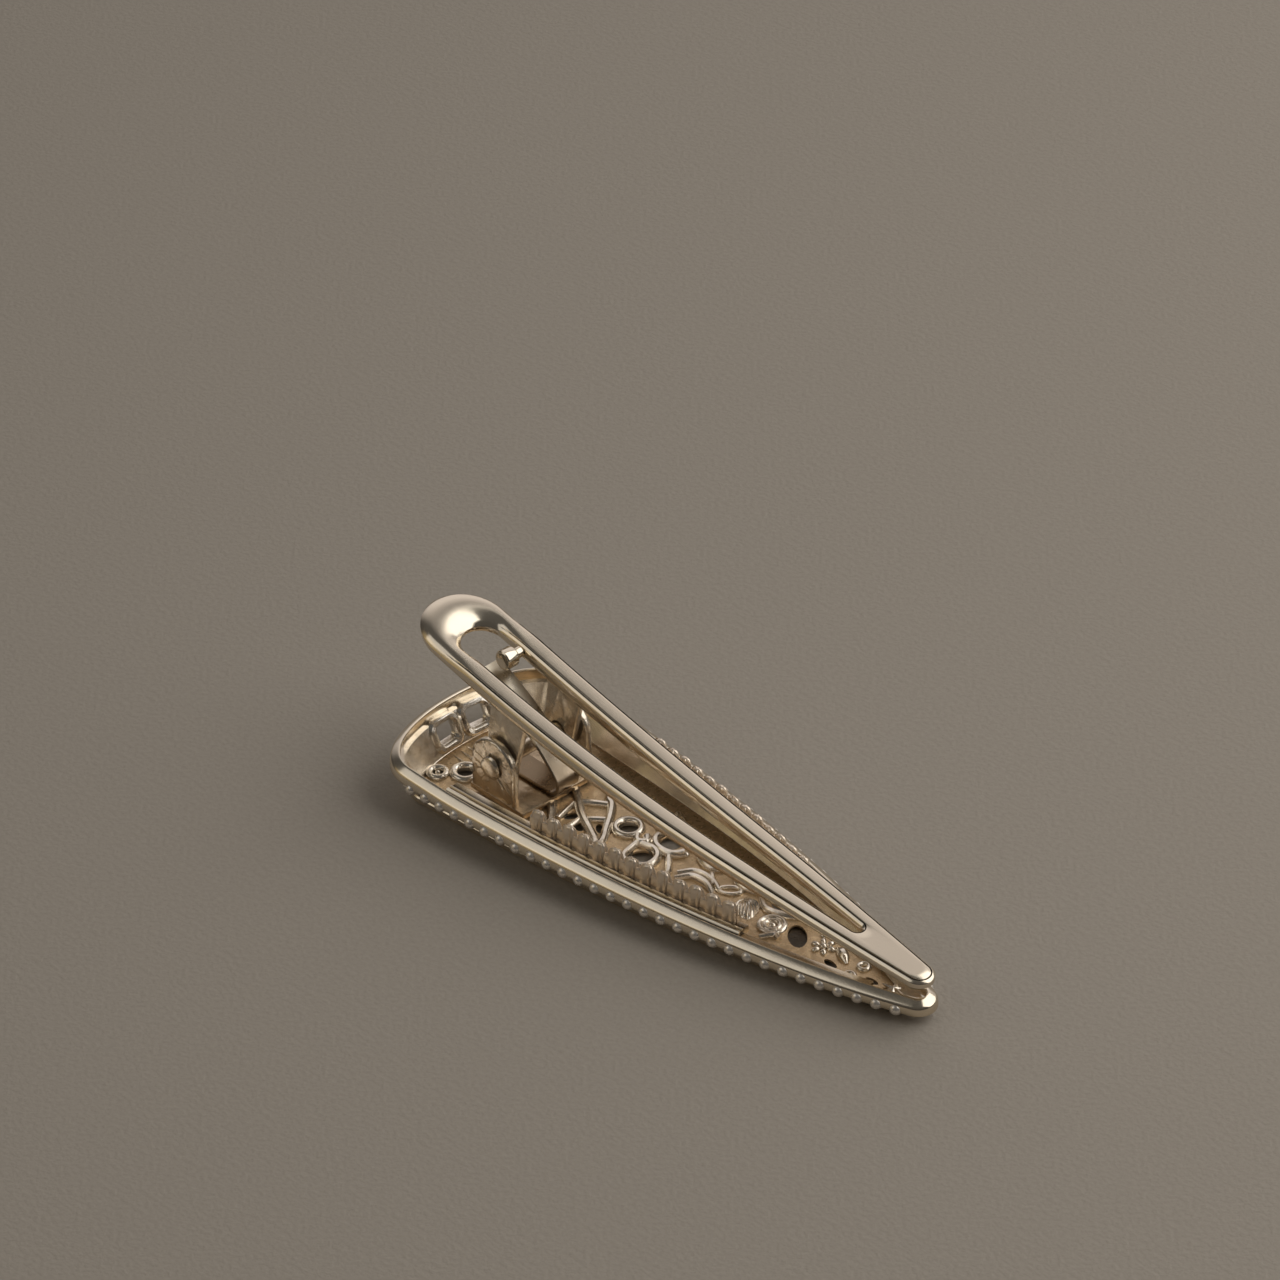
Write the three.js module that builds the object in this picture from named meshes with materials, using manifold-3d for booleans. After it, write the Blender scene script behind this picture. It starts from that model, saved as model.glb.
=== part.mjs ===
// Duckbill hair clip: a pierced, beaded jaw with a sprung loop arm hinged above it.
// Millimetres, +Z up. While it is built, x runs from the rear of the jaw to its tip,
// y runs across it (left is +y) and z is square to the rim.
import * as THREE from 'three';
import { mergeVertices } from 'three/addons/utils/BufferGeometryUtils.js';
import Module from 'manifold-3d';

const wasm = await Module();
wasm.setup();

const DEGREE = Math.PI / 180;

// Fits
const SOLDER_GAP = 0.1;
const HINGE_PLAY = 0.3;
const BORE_PLAY = 0.15;
const WELD_TOLERANCE = 1e-4;

// Jaw outline, measured on the line of the beads
const JAW_REAR = -0.4;
const JAW_TIP = 66.9;
const JAW_WIDTH = 23.8;
const SHOULDER_X = 6.2;
const TIP_RADIUS = 2.0;
const REAR_SIDE_ANGLE = 2.2 * DEGREE;
const TIP_SIDE_ANGLE = 22 * DEGREE;
const REAR_FULLNESS = 0.55;
const CORNER_FULLNESS = 0.62;
const SIDE_REAR_HANDLE = 0.34;
const SIDE_TIP_HANDLE = 0.27;
const REAR_STEPS = 7;
const SIDE_STEPS = 14;
const TIP_STEPS = 4;

// Pierced face: a flat plate that comes nearer to the rim towards the tip
const FACE_THICKNESS = 0.8;
const FACE_INSET = 2.4;
const FACE_TIP_INSET = 3.4;
const FACE_TIP_RADIUS = 1.1;
const FACE_LEDGE = 0.35;
const FACE_SLOPE = 0.034;

// Piercing of the face, measured in the same x and y
const HOLE_STEPS = 6;
const ROUND_HOLES = [
  { x: 4.7, y: 5.7, radius: 0.95 },
  { x: 4.7, y: -5.7, radius: 0.95 },
  { x: 6.9, y: 3.3, radius: 1.2 },
  { x: 6.9, y: -3.3, radius: 1.2 },
  { x: 5.0, y: 0, radius: 0.9 },
  { x: 25.2, y: 1.1, radius: 1.25 },
  { x: 29.3, y: -1.2, radius: 1.35 },
  { x: 29.3, y: 2.4, radius: 1.2 },
  { x: 26.6, y: -4.3, radius: 1.1 },
  { x: 27.6, y: 5.3, radius: 1.1 },
  { x: 46.2, y: 1.5, radius: 0.85 },
  { x: 46.2, y: -1.5, radius: 0.85 },
  { x: 56.2, y: 0, radius: 0.8 },
];
const LEAF_HOLES = [
  { x: 10.6, y: 7.4, length: 4.6, width: 1.3, turn: -3 * DEGREE },
  { x: 10.6, y: -7.4, length: 4.6, width: 1.3, turn: 3 * DEGREE },
  { x: 15.9, y: 7.1, length: 4.6, width: 1.3, turn: -4 * DEGREE },
  { x: 15.9, y: -7.1, length: 4.6, width: 1.3, turn: 4 * DEGREE },
  { x: 20.6, y: 5.2, length: 5.0, width: 1.6, turn: 30 * DEGREE },
  { x: 20.6, y: -5.2, length: 5.0, width: 1.6, turn: -30 * DEGREE },
  { x: 20.4, y: 1.7, length: 4.6, width: 1.4, turn: 24 * DEGREE },
  { x: 20.4, y: -1.7, length: 4.6, width: 1.4, turn: -24 * DEGREE },
  { x: 24.4, y: 4.0, length: 3.4, width: 1.0, turn: -38 * DEGREE },
  { x: 24.4, y: -1.9, length: 3.4, width: 1.1, turn: -20 * DEGREE },
  { x: 33.0, y: 5.1, length: 4.2, width: 1.2, turn: -14 * DEGREE },
  { x: 33.0, y: -5.1, length: 4.2, width: 1.2, turn: 14 * DEGREE },
  { x: 34.0, y: 3.0, length: 4.6, width: 1.1, turn: 6 * DEGREE },
  { x: 34.0, y: -3.0, length: 4.6, width: 1.1, turn: -6 * DEGREE },
  { x: 35.0, y: 0.9, length: 5.6, width: 1.0, turn: 3 * DEGREE },
  { x: 35.0, y: -0.9, length: 5.6, width: 1.0, turn: -3 * DEGREE },
  { x: 38.6, y: 4.0, length: 4.4, width: 1.1, turn: -16 * DEGREE },
  { x: 38.6, y: -4.0, length: 4.4, width: 1.1, turn: 16 * DEGREE },
  { x: 41.0, y: 1.5, length: 4.8, width: 1.1, turn: -8 * DEGREE },
  { x: 41.0, y: -1.5, length: 4.8, width: 1.1, turn: 8 * DEGREE },
  { x: 43.9, y: 3.4, length: 3.6, width: 0.9, turn: -20 * DEGREE },
  { x: 43.9, y: -3.4, length: 3.6, width: 0.9, turn: 20 * DEGREE },
  { x: 59.6, y: 0, length: 3.4, width: 0.8, turn: 0 },
];
const ROSETTE_X = 51;
const ROSETTE_PETALS = 6;
const ROSETTE_RADIUS = 1.45;
const ROSETTE_PETAL_LENGTH = 1.5;
const ROSETTE_PETAL_WIDTH = 0.8;

// Gallery: the sloping wall between the face and the rim, highest at the rear
const GALLERY_HEIGHT = 3.05;
const GALLERY_WALL = 0.75;
const WINDOW_WIDTH = 2.5;
const WINDOW_HEIGHT = 1.8;
const WINDOW_PITCH = 4.1;
const WINDOW_DROP = 0.4;
const WINDOWS = 2;

// Rim, measured inwards from the line of the beads
const RIM_HEIGHT = 1.4;
const RIM_CROWN = 0.6;
const RIM_OUTER = 0.05;
const RIM_INNER = 1.15;
const RIM_CROWN_STEPS = 5;

// Beaded wire under the rim, one run along each side
const BEAD_RADIUS = 0.62;
const BEAD_PITCH = 2.0;
const BEAD_DROP = 0.35;
const BEAD_NECK = 0.34;
const BEAD_SIDES = 7;
const BEAD_RINGS = 3;

// Toothed combs inside the rim, with a plain flange behind the teeth and ahead of them
const COMB_HEEL = 10;
const COMB_TOE = 1.15;
const COMB_FLANGE_WIDTH = 0.85;
const COMB_FLANGE_HEIGHT = 0.95;
const COMB_WALL = 0.6;
const FIRST_TOOTH = 21;
const TOOTH_PITCH = 1.95;
const TEETH = 13;
const TOOTH_HEIGHT = 2.0;
const TOOTH_VALLEY = 0.5;
const TOOTH_FLUTE = 0.28;
const TOOTH_STEPS = 5;
const TOOTH_ROUNDNESS = 0.6;

// Hinge
const PIN_X = 12.2;
const PIN_Z = 5.7;
const PIN_RADIUS = 0.75;
const PIN_HEAD_RADIUS = 1.35;
const PIN_HEAD_HEIGHT = 0.5;
const PIN_HEAD_STEPS = 4;
const EAR_RADIUS = 3.0;
const EAR_THICKNESS = 0.8;
const EAR_SPACING = 9.2;
const BRACKET_BASE = 0.7;
const BRACKET_REAR = 3.2;
const BRACKET_FRONT = 4.4;

// Loop arm, measured from the hinge pin along the arm
const ARM_TILT = 5.1 * DEGREE;
const ARM_RISE = 6.35;
const ARM_THICKNESS = 1.7;
const ARM_REAR_THICKNESS = 1.5;
const ARM_TIP_THICKNESS = 1.1;
const ARM_REAR = 14.5;
const ARM_FRONT = 54.0;
const ARM_REAR_RADIUS = 4.75;
const ARM_TIP_RADIUS = 1.6;
const ARM_WAIST = 4.75;
const ARM_LIFT = 3.6;
const ARM_LIFT_START = 28;
const ARM_THIN_START = 12;
const ARM_EDGE_WIDTH = 0.5;
const ARM_EDGE_HEIGHT = 0.55;
const ARM_EDGE_STEPS = 2;
const ARM_STEPS = 12;
const SLOT_REAR = 9.75;
const SLOT_FRONT = 44.7;
const SLOT_REAR_RADIUS = 2.35;
const SLOT_TIP_RADIUS = 0.5;
const SLOT_WAIST = 2.2;
const ROUND_STEPS = 8;

// Hinge lugs under the arm
const LUG_THICKNESS = 0.8;
const LUG_EYE_RADIUS = 2.0;
const LUG_REAR = 1.8;
const LUG_FRONT = 4.3;

// Spring and the short bar that it pushes on, which reaches past the middle of the slot
const BAR_RADIUS = 0.8;
const BAR_BEHIND_PIN = 4.7;
const BAR_PAST_MIDDLE = 0.6;
const LEAF_THICKNESS = 0.4;
const LEAF_WIDTH = 4.0;
const LEAF_BEND_RADIUS = 1.7;
const LEAF_BEND_AHEAD = 7.0;
const LEAF_LOWER_END = 2.6;
const LEAF_UPPER_END = 6.0;
const LEAF_SLOPE = 50 * DEGREE;
const LEAF_SWEEP = 6.0;
const LEAF_STEPS = 8;

const SEAT_Z = FACE_THICKNESS + SOLDER_GAP + GALLERY_HEIGHT;
const BEAD_Z = SEAT_Z - BEAD_DROP;

const METAL = {
  polished: new THREE.MeshStandardMaterial({ color: 0xcdbfae, roughness: 0.16, metalness: 1 }),
  pierced: new THREE.MeshStandardMaterial({ color: 0xb9a58f, roughness: 0.28, metalness: 1 }),
  cast: new THREE.MeshStandardMaterial({ color: 0xa58b70, roughness: 0.42, metalness: 1 }),
  spring: new THREE.MeshStandardMaterial({ color: 0xb79a7d, roughness: 0.3, metalness: 1 }),
};

// Turns a mesh that is inside out so that its faces point outwards.
function facesOutwards(geometry) {
  const position = geometry.getAttribute('position');
  const index = geometry.getIndex();
  const a = new THREE.Vector3();
  const b = new THREE.Vector3();
  const c = new THREE.Vector3();
  let volume = 0;
  for (let i = 0; i < index.count; i += 3) {
    a.fromBufferAttribute(position, index.getX(i));
    b.fromBufferAttribute(position, index.getX(i + 1));
    c.fromBufferAttribute(position, index.getX(i + 2));
    volume += a.dot(b.cross(c));
  }
  if (volume < 0) {
    for (let i = 0; i < index.count; i += 3) {
      const second = index.getX(i + 1);
      index.setX(i + 1, index.getX(i + 2));
      index.setX(i + 2, second);
    }
  }
  return geometry;
}

function meshFrom(points, triangles) {
  const geometry = new THREE.BufferGeometry();
  geometry.setFromPoints(points);
  geometry.setIndex(triangles);
  return facesOutwards(geometry);
}

// Two triangles for every step between one closed row of points and the next.
function quadsBetween(rowA, rowB, count) {
  const triangles = [];
  for (let i = 0; i < count; i += 1) {
    const next = (i + 1) % count;
    triangles.push(rowA + i, rowA + next, rowB + next);
    triangles.push(rowA + i, rowB + next, rowB + i);
  }
  return triangles;
}

// A closed band whose section has one corner on each of the given closed loops.
function bandThroughLoops(loops) {
  const count = loops[0].length;
  const triangles = [];
  loops.forEach((loop, row) => {
    const nextRow = (row + 1) % loops.length;
    triangles.push(...quadsBetween(row * count, nextRow * count, count));
  });
  return meshFrom(loops.flat(), triangles);
}

// A plate over a closed outline that is the same on both sides of the x axis and starts on it.
// Its underside and top are heights along x, so it bends only across its length.
function plateOverLoop(loop, underside, top) {
  const count = loop.length;
  const points = [
    ...loop.map((p) => new THREE.Vector3(p.x, p.y, underside(p.x))),
    ...loop.map((p) => new THREE.Vector3(p.x, p.y, top(p.x))),
  ];
  const triangles = quadsBetween(0, count, count);
  for (let i = 0; i < count / 2; i += 1) {
    const left = (count - i) % count;
    const nextLeft = count - i - 1;
    const corners = [[i, i + 1, nextLeft], [i, nextLeft, left]];
    corners.filter((corner) => new Set(corner).size === 3).forEach(([a, b, c]) => {
      triangles.push(a, c, b);
      triangles.push(count + a, count + b, count + c);
    });
  }
  return meshFrom(points, triangles);
}

// A solid through a row of equal sections, closed by a flat cap at each end.
function solidThroughSections(sections, capOutline) {
  const count = sections[0].length;
  const triangles = [];
  for (let row = 0; row + 1 < sections.length; row += 1) {
    triangles.push(...quadsBetween(row * count, (row + 1) * count, count));
  }
  const last = (sections.length - 1) * count;
  THREE.ShapeUtils.triangulateShape(capOutline, []).forEach(([a, b, c]) => {
    triangles.push(a, c, b);
    triangles.push(last + a, last + b, last + c);
  });
  return meshFrom(sections.flat(), triangles);
}

function toSolid(geometry) {
  const bare = geometry.clone();
  bare.deleteAttribute('normal');
  bare.deleteAttribute('uv');
  const merged = mergeVertices(bare, WELD_TOLERANCE);
  return new wasm.Manifold(new wasm.Mesh({
    numProp: 3,
    vertProperties: new Float32Array(merged.getAttribute('position').array),
    triVerts: new Uint32Array(merged.getIndex().array),
  }));
}

function toGeometry(solid) {
  const mesh = solid.getMesh();
  const geometry = new THREE.BufferGeometry();
  geometry.setAttribute('position', new THREE.BufferAttribute(mesh.vertProperties, mesh.numProp));
  geometry.setIndex(new THREE.BufferAttribute(mesh.triVerts, 1));
  return geometry;
}

// Stands a drawing in x and z upright and gives it a thickness from y to y + depth.
function uprightPlate(shape, y, depth, curveSegments) {
  const geometry = new THREE.ExtrudeGeometry(shape, { depth, curveSegments, bevelEnabled: false });
  geometry.rotateX(Math.PI / 2);
  geometry.translate(0, y + depth, 0);
  return geometry;
}

// The left edge of the jaw, or of a smaller outline inside it: rear, side and tip curves.
function edgeCurves({ rear, halfWidth, tip, tipRadius }) {
  const point = (x, y) => new THREE.Vector2(x, y);
  const shoulder = point(SHOULDER_X, halfWidth);
  const tangent = point(
    tip - tipRadius + tipRadius * Math.sin(TIP_SIDE_ANGLE),
    tipRadius * Math.cos(TIP_SIDE_ANGLE),
  );
  const alongRear = point(Math.cos(REAR_SIDE_ANGLE), -Math.sin(REAR_SIDE_ANGLE));
  const alongTip = point(Math.cos(TIP_SIDE_ANGLE), -Math.sin(TIP_SIDE_ANGLE));
  const span = tangent.x - shoulder.x;
  const cornerReach = (SHOULDER_X - rear) * CORNER_FULLNESS;
  return {
    rear: new THREE.CubicBezierCurve(
      point(rear, 0),
      point(rear, halfWidth * REAR_FULLNESS),
      shoulder.clone().addScaledVector(alongRear, -cornerReach),
      shoulder,
    ),
    side: new THREE.CubicBezierCurve(
      shoulder,
      shoulder.clone().addScaledVector(alongRear, span * SIDE_REAR_HANDLE),
      tangent.clone().addScaledVector(alongTip, -span * SIDE_TIP_HANDLE),
      tangent,
    ),
    tip: new THREE.EllipseCurve(
      tip - tipRadius, 0, tipRadius, tipRadius, Math.PI / 2 - TIP_SIDE_ANGLE, 0, true,
    ),
  };
}

// A closed outline, anticlockwise from the middle of the rear.
function edgeLoop(outline) {
  const { rear, side, tip } = edgeCurves(outline);
  const left = [
    ...rear.getPoints(REAR_STEPS).slice(0, -1),
    ...side.getPoints(SIDE_STEPS).slice(0, -1),
    ...tip.getPoints(TIP_STEPS),
  ];
  const right = left.map((p) => new THREE.Vector2(p.x, -p.y));
  return [...right, ...left.slice(1, -1).reverse()];
}

const jawOutline = (inset) => ({
  rear: JAW_REAR + inset,
  halfWidth: JAW_WIDTH / 2 - inset,
  tip: JAW_TIP - inset,
  tipRadius: TIP_RADIUS - inset,
});

const faceOutline = (inset) => ({
  rear: JAW_REAR + FACE_INSET + inset,
  halfWidth: JAW_WIDTH / 2 - FACE_INSET - inset,
  tip: JAW_TIP - FACE_TIP_INSET - inset,
  tipRadius: FACE_TIP_RADIUS - inset,
});

const faceUnderside = (x) => FACE_SLOPE * (x - JAW_REAR);
const faceTop = (x) => faceUnderside(x) + FACE_THICKNESS;
const level = (loop, z) => loop.map((p) => new THREE.Vector3(p.x, p.y, z));
const onFace = (loop) => loop.map((p) => new THREE.Vector3(p.x, p.y, faceTop(p.x) + SOLDER_GAP));

// Half-round rim band, flat underneath
function rimGeometry() {
  const middle = (RIM_INNER + RIM_OUTER) / 2;
  const half = (RIM_INNER - RIM_OUTER) / 2;
  const loops = [level(edgeLoop(jawOutline(middle - half)), SEAT_Z)];
  for (let step = 0; step <= RIM_CROWN_STEPS; step += 1) {
    const angle = Math.PI * step / RIM_CROWN_STEPS;
    const z = SEAT_Z + RIM_HEIGHT - RIM_CROWN + RIM_CROWN * Math.sin(angle);
    loops.push(level(edgeLoop(jawOutline(middle - half * Math.cos(angle))), z));
  }
  loops.push(level(edgeLoop(jawOutline(middle + half)), SEAT_Z));
  return bandThroughLoops(loops);
}

// Sloping gallery wall with a row of windows through its rear
function galleryGeometry() {
  const top = BEAD_RADIUS + SOLDER_GAP;
  const wall = bandThroughLoops([
    level(edgeLoop(jawOutline(top)), SEAT_Z),
    level(edgeLoop(jawOutline(top + GALLERY_WALL)), SEAT_Z),
    onFace(edgeLoop(faceOutline(GALLERY_WALL))),
    onFace(edgeLoop(faceOutline(0))),
  ]);
  let solid = toSolid(wall);
  for (let i = 0; i < WINDOWS; i += 1) {
    const window = new THREE.BoxGeometry(SHOULDER_X, WINDOW_WIDTH, WINDOW_HEIGHT);
    const y = (i - (WINDOWS - 1) / 2) * WINDOW_PITCH;
    window.translate(SHOULDER_X / 2 + JAW_REAR, y, SEAT_Z - WINDOW_DROP - WINDOW_HEIGHT / 2);
    solid = solid.subtract(toSolid(window));
  }
  return toGeometry(solid);
}

// A round hole of the piercing
function roundHole({ x, y, radius }) {
  const hole = new THREE.Shape();
  hole.absarc(x, y, radius, 0, 2 * Math.PI, false);
  return hole;
}

// A pointed leaf-shaped hole, with its long axis turned by an angle
function leafHole({ x, y, length, width, turn }) {
  const centre = new THREE.Vector2(x, y);
  const along = new THREE.Vector2(Math.cos(turn), Math.sin(turn)).multiplyScalar(length / 2);
  const across = new THREE.Vector2(-Math.sin(turn), Math.cos(turn)).multiplyScalar(width);
  const heel = centre.clone().sub(along);
  const point = centre.clone().add(along);
  const hole = new THREE.Shape();
  hole.moveTo(heel.x, heel.y);
  hole.quadraticCurveTo(centre.x - across.x, centre.y - across.y, point.x, point.y);
  hole.quadraticCurveTo(centre.x + across.x, centre.y + across.y, heel.x, heel.y);
  return hole;
}

// Pierced face of the jaw, with a rosette of leaf holes near its tip
function faceGeometry() {
  const holes = [...ROUND_HOLES.map(roundHole), ...LEAF_HOLES.map(leafHole)];
  for (let i = 0; i < ROSETTE_PETALS; i += 1) {
    const turn = 2 * Math.PI * i / ROSETTE_PETALS;
    holes.push(leafHole({
      x: ROSETTE_X + ROSETTE_RADIUS * Math.cos(turn),
      y: ROSETTE_RADIUS * Math.sin(turn),
      length: ROSETTE_PETAL_LENGTH,
      width: ROSETTE_PETAL_WIDTH,
      turn,
    }));
  }
  const plate = plateOverLoop(edgeLoop(faceOutline(-FACE_LEDGE)), faceUnderside, faceTop);
  const depth = faceTop(JAW_TIP) + 2 * FACE_THICKNESS;
  const cuts = new THREE.ExtrudeGeometry(holes, { depth, curveSegments: HOLE_STEPS, bevelEnabled: false });
  cuts.translate(0, 0, -FACE_THICKNESS);
  return toGeometry(toSolid(plate).subtract(toSolid(cuts)));
}

// One run of beaded wire along a side of the jaw, flat where it lies against the rim
function beadRowGeometry(side) {
  const path = edgeCurves(jawOutline(0)).side;
  const pathLength = path.getLength();
  const beads = Math.floor(pathLength / BEAD_PITCH);
  const rings = [{ at: 0, radius: BEAD_NECK }];
  for (let bead = 0; bead < beads; bead += 1) {
    for (let ring = 1; ring <= BEAD_RINGS; ring += 1) {
      const share = ring / (BEAD_RINGS + 1);
      const swell = Math.sin(Math.PI * share);
      rings.push({ at: (bead + share) * BEAD_PITCH, radius: BEAD_NECK + (BEAD_RADIUS - BEAD_NECK) * swell });
    }
    rings.push({ at: (bead + 1) * BEAD_PITCH, radius: BEAD_NECK });
  }
  const circle = [];
  for (let i = 0; i < BEAD_SIDES; i += 1) {
    const angle = 2 * Math.PI * i / BEAD_SIDES;
    circle.push(new THREE.Vector2(Math.cos(angle), Math.sin(angle)));
  }
  const sections = rings.map(({ at, radius }) => {
    const centre = path.getPointAt(at / pathLength);
    const along = path.getTangentAt(at / pathLength);
    return circle.map((c) => new THREE.Vector3(
      centre.x - along.y * radius * c.x,
      side * (centre.y + along.x * radius * c.x),
      Math.min(BEAD_Z + radius * c.y, SEAT_Z),
    ));
  });
  return solidThroughSections(sections, circle);
}

// Height and flute of a comb's wall at a distance along its teeth: 0 in a valley, 1 on a tooth
function toothProfile(along) {
  const share = along / TOOTH_PITCH;
  return share <= 0 || share >= TEETH ? 0 : Math.sin(Math.PI * (share % 1)) ** TOOTH_ROUNDNESS;
}

// A comb: a flange beside the rim and a fluted wall of round-topped teeth
function combGeometry(side) {
  const path = edgeCurves(jawOutline(0)).side;
  const lastTooth = FIRST_TOOTH + TOOTH_PITCH * TEETH;
  const stations = [FIRST_TOOTH - COMB_HEEL, FIRST_TOOTH];
  for (let step = 1; step < TEETH * TOOTH_STEPS; step += 1) {
    stations.push(FIRST_TOOTH + TOOTH_PITCH * step / TOOTH_STEPS);
  }
  stations.push(lastTooth, lastTooth + COMB_TOE);
  const flangeStart = RIM_INNER + SOLDER_GAP;
  const wallStart = flangeStart + COMB_FLANGE_WIDTH;
  const bottom = SEAT_Z + SOLDER_GAP;
  const flangeTop = bottom + COMB_FLANGE_HEIGHT;
  const pathLength = path.getLength();
  let outline = [];
  const sections = stations.map((x) => {
    const u = (x - SHOULDER_X) / pathLength;
    const centre = path.getPointAt(u);
    const along = path.getTangentAt(u);
    const tooth = toothProfile(x - FIRST_TOOTH);
    const toothed = x > FIRST_TOOTH && x < lastTooth;
    const crest = flangeTop + (toothed ? TOOTH_VALLEY + (TOOTH_HEIGHT - TOOTH_VALLEY) * tooth : SOLDER_GAP);
    const flute = TOOTH_FLUTE * (1 - tooth);
    outline = [
      new THREE.Vector2(flangeStart, bottom),
      new THREE.Vector2(wallStart + TOOTH_FLUTE + COMB_WALL, bottom),
      new THREE.Vector2(wallStart + TOOTH_FLUTE + COMB_WALL, crest),
      new THREE.Vector2(wallStart + flute, crest),
      new THREE.Vector2(wallStart + flute, flangeTop),
      new THREE.Vector2(flangeStart, flangeTop),
    ];
    return outline.map((p) => new THREE.Vector3(
      centre.x + along.y * p.x,
      side * (centre.y - along.x * p.x),
      p.y,
    ));
  });
  return solidThroughSections(sections, outline);
}

const EAR_INNER_Y = EAR_SPACING / 2;
const EAR_OUTER_Y = EAR_INNER_Y + EAR_THICKNESS;
const BRACKET_Z = faceTop(PIN_X + BRACKET_FRONT) + SOLDER_GAP;

// Hinge bracket: a base plate with a round-topped ear turned up at each side
function bracketGeometry() {
  const ear = new THREE.Shape();
  ear.moveTo(PIN_X - EAR_RADIUS, BRACKET_Z);
  ear.lineTo(PIN_X + EAR_RADIUS, BRACKET_Z);
  ear.lineTo(PIN_X + EAR_RADIUS, PIN_Z);
  ear.absarc(PIN_X, PIN_Z, EAR_RADIUS, 0, Math.PI, false);
  ear.lineTo(PIN_X - EAR_RADIUS, BRACKET_Z);
  const bore = new THREE.Path();
  bore.absarc(PIN_X, PIN_Z, PIN_RADIUS + BORE_PLAY, 0, 2 * Math.PI, false);
  ear.holes.push(bore);
  const baseLength = BRACKET_REAR + BRACKET_FRONT;
  const base = new THREE.BoxGeometry(baseLength, 2 * EAR_OUTER_Y, BRACKET_BASE);
  base.translate(PIN_X - BRACKET_REAR + baseLength / 2, 0, BRACKET_Z + BRACKET_BASE / 2);
  const left = uprightPlate(ear, EAR_INNER_Y, EAR_THICKNESS, ROUND_STEPS);
  const right = uprightPlate(ear, -EAR_OUTER_Y, EAR_THICKNESS, ROUND_STEPS);
  return toGeometry(toSolid(base).add(toSolid(left)).add(toSolid(right)));
}

// Hinge pin with a peened, domed head outside each ear
function pinGeometry() {
  const end = EAR_OUTER_Y + SOLDER_GAP;
  const dome = new THREE.QuadraticBezierCurve(
    new THREE.Vector2(PIN_HEAD_RADIUS, end),
    new THREE.Vector2(PIN_HEAD_RADIUS, end + PIN_HEAD_HEIGHT),
    new THREE.Vector2(0, end + PIN_HEAD_HEIGHT),
  ).getPoints(PIN_HEAD_STEPS);
  const half = [new THREE.Vector2(PIN_RADIUS, end), ...dome];
  const profile = [...half.map((p) => new THREE.Vector2(p.x, -p.y)).reverse(), ...half];
  const geometry = new THREE.LatheGeometry(profile, 2 * ROUND_STEPS);
  geometry.translate(PIN_X, 0, PIN_Z);
  return geometry;
}

// Half width of a long tapered outline between its two round ends
function taperedHalfWidth(x, outline) {
  const t = (x - outline.rearCentre) / (outline.tipCentre - outline.rearCentre);
  return (1 - t) ** 2 * outline.rearRadius + 2 * t * (1 - t) * outline.waist + t ** 2 * outline.tipRadius;
}

function drawTapered(path, outline) {
  const middle = (outline.rearCentre + outline.tipCentre) / 2;
  path.moveTo(outline.rearCentre, outline.rearRadius);
  path.absarc(outline.rearCentre, 0, outline.rearRadius, Math.PI / 2, 1.5 * Math.PI, false);
  path.quadraticCurveTo(middle, -outline.waist, outline.tipCentre, -outline.tipRadius);
  path.absarc(outline.tipCentre, 0, outline.tipRadius, -Math.PI / 2, Math.PI / 2, false);
  path.quadraticCurveTo(middle, outline.waist, outline.rearCentre, outline.rearRadius);
  return path;
}

const ARM_OUTLINE = {
  rearCentre: ARM_REAR_RADIUS - ARM_REAR,
  rearRadius: ARM_REAR_RADIUS,
  waist: ARM_WAIST,
  tipCentre: ARM_FRONT - ARM_TIP_RADIUS,
  tipRadius: ARM_TIP_RADIUS,
};
const SLOT_OUTLINE = {
  rearCentre: SLOT_REAR_RADIUS - SLOT_REAR,
  rearRadius: SLOT_REAR_RADIUS,
  waist: SLOT_WAIST,
  tipCentre: SLOT_FRONT - SLOT_TIP_RADIUS,
  tipRadius: SLOT_TIP_RADIUS,
};
// The arm is bowed: it curves up from ahead of its middle to the thumb end.
function armLift(x) {
  const behind = Math.max(0, (ARM_LIFT_START - x) / (ARM_LIFT_START + ARM_REAR));
  return ARM_LIFT * behind * behind;
}

// The arm is thickest over the hinge and thins out towards both ends.
function armThickness(x) {
  const behind = Math.max(0, (-LUG_REAR - x) / (ARM_REAR - LUG_REAR));
  const ahead = Math.max(0, (x - ARM_THIN_START) / (ARM_FRONT - ARM_THIN_START));
  return ARM_THICKNESS
    + (ARM_REAR_THICKNESS - ARM_THICKNESS) * behind
    + (ARM_TIP_THICKNESS - ARM_THICKNESS) * ahead;
}

const armUnderside = (x) => ARM_RISE - armThickness(x) + armLift(x);

// Loop arm: a long tapered ring with rounded edges
function armGeometry() {
  const shape = drawTapered(new THREE.Shape(), ARM_OUTLINE);
  shape.holes.push(drawTapered(new THREE.Path(), SLOT_OUTLINE));
  const geometry = new THREE.ExtrudeGeometry(shape, {
    depth: ARM_THICKNESS - 2 * ARM_EDGE_HEIGHT,
    curveSegments: ARM_STEPS,
    bevelEnabled: true,
    bevelThickness: ARM_EDGE_HEIGHT,
    bevelSize: ARM_EDGE_WIDTH,
    bevelOffset: -ARM_EDGE_WIDTH,
    bevelSegments: ARM_EDGE_STEPS,
  });
  const position = geometry.getAttribute('position');
  for (let i = 0; i < position.count; i += 1) {
    const x = position.getX(i);
    const share = (position.getZ(i) + ARM_EDGE_HEIGHT) / ARM_THICKNESS;
    position.setZ(i, armUnderside(x) + share * armThickness(x));
  }
  return geometry;
}

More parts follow.
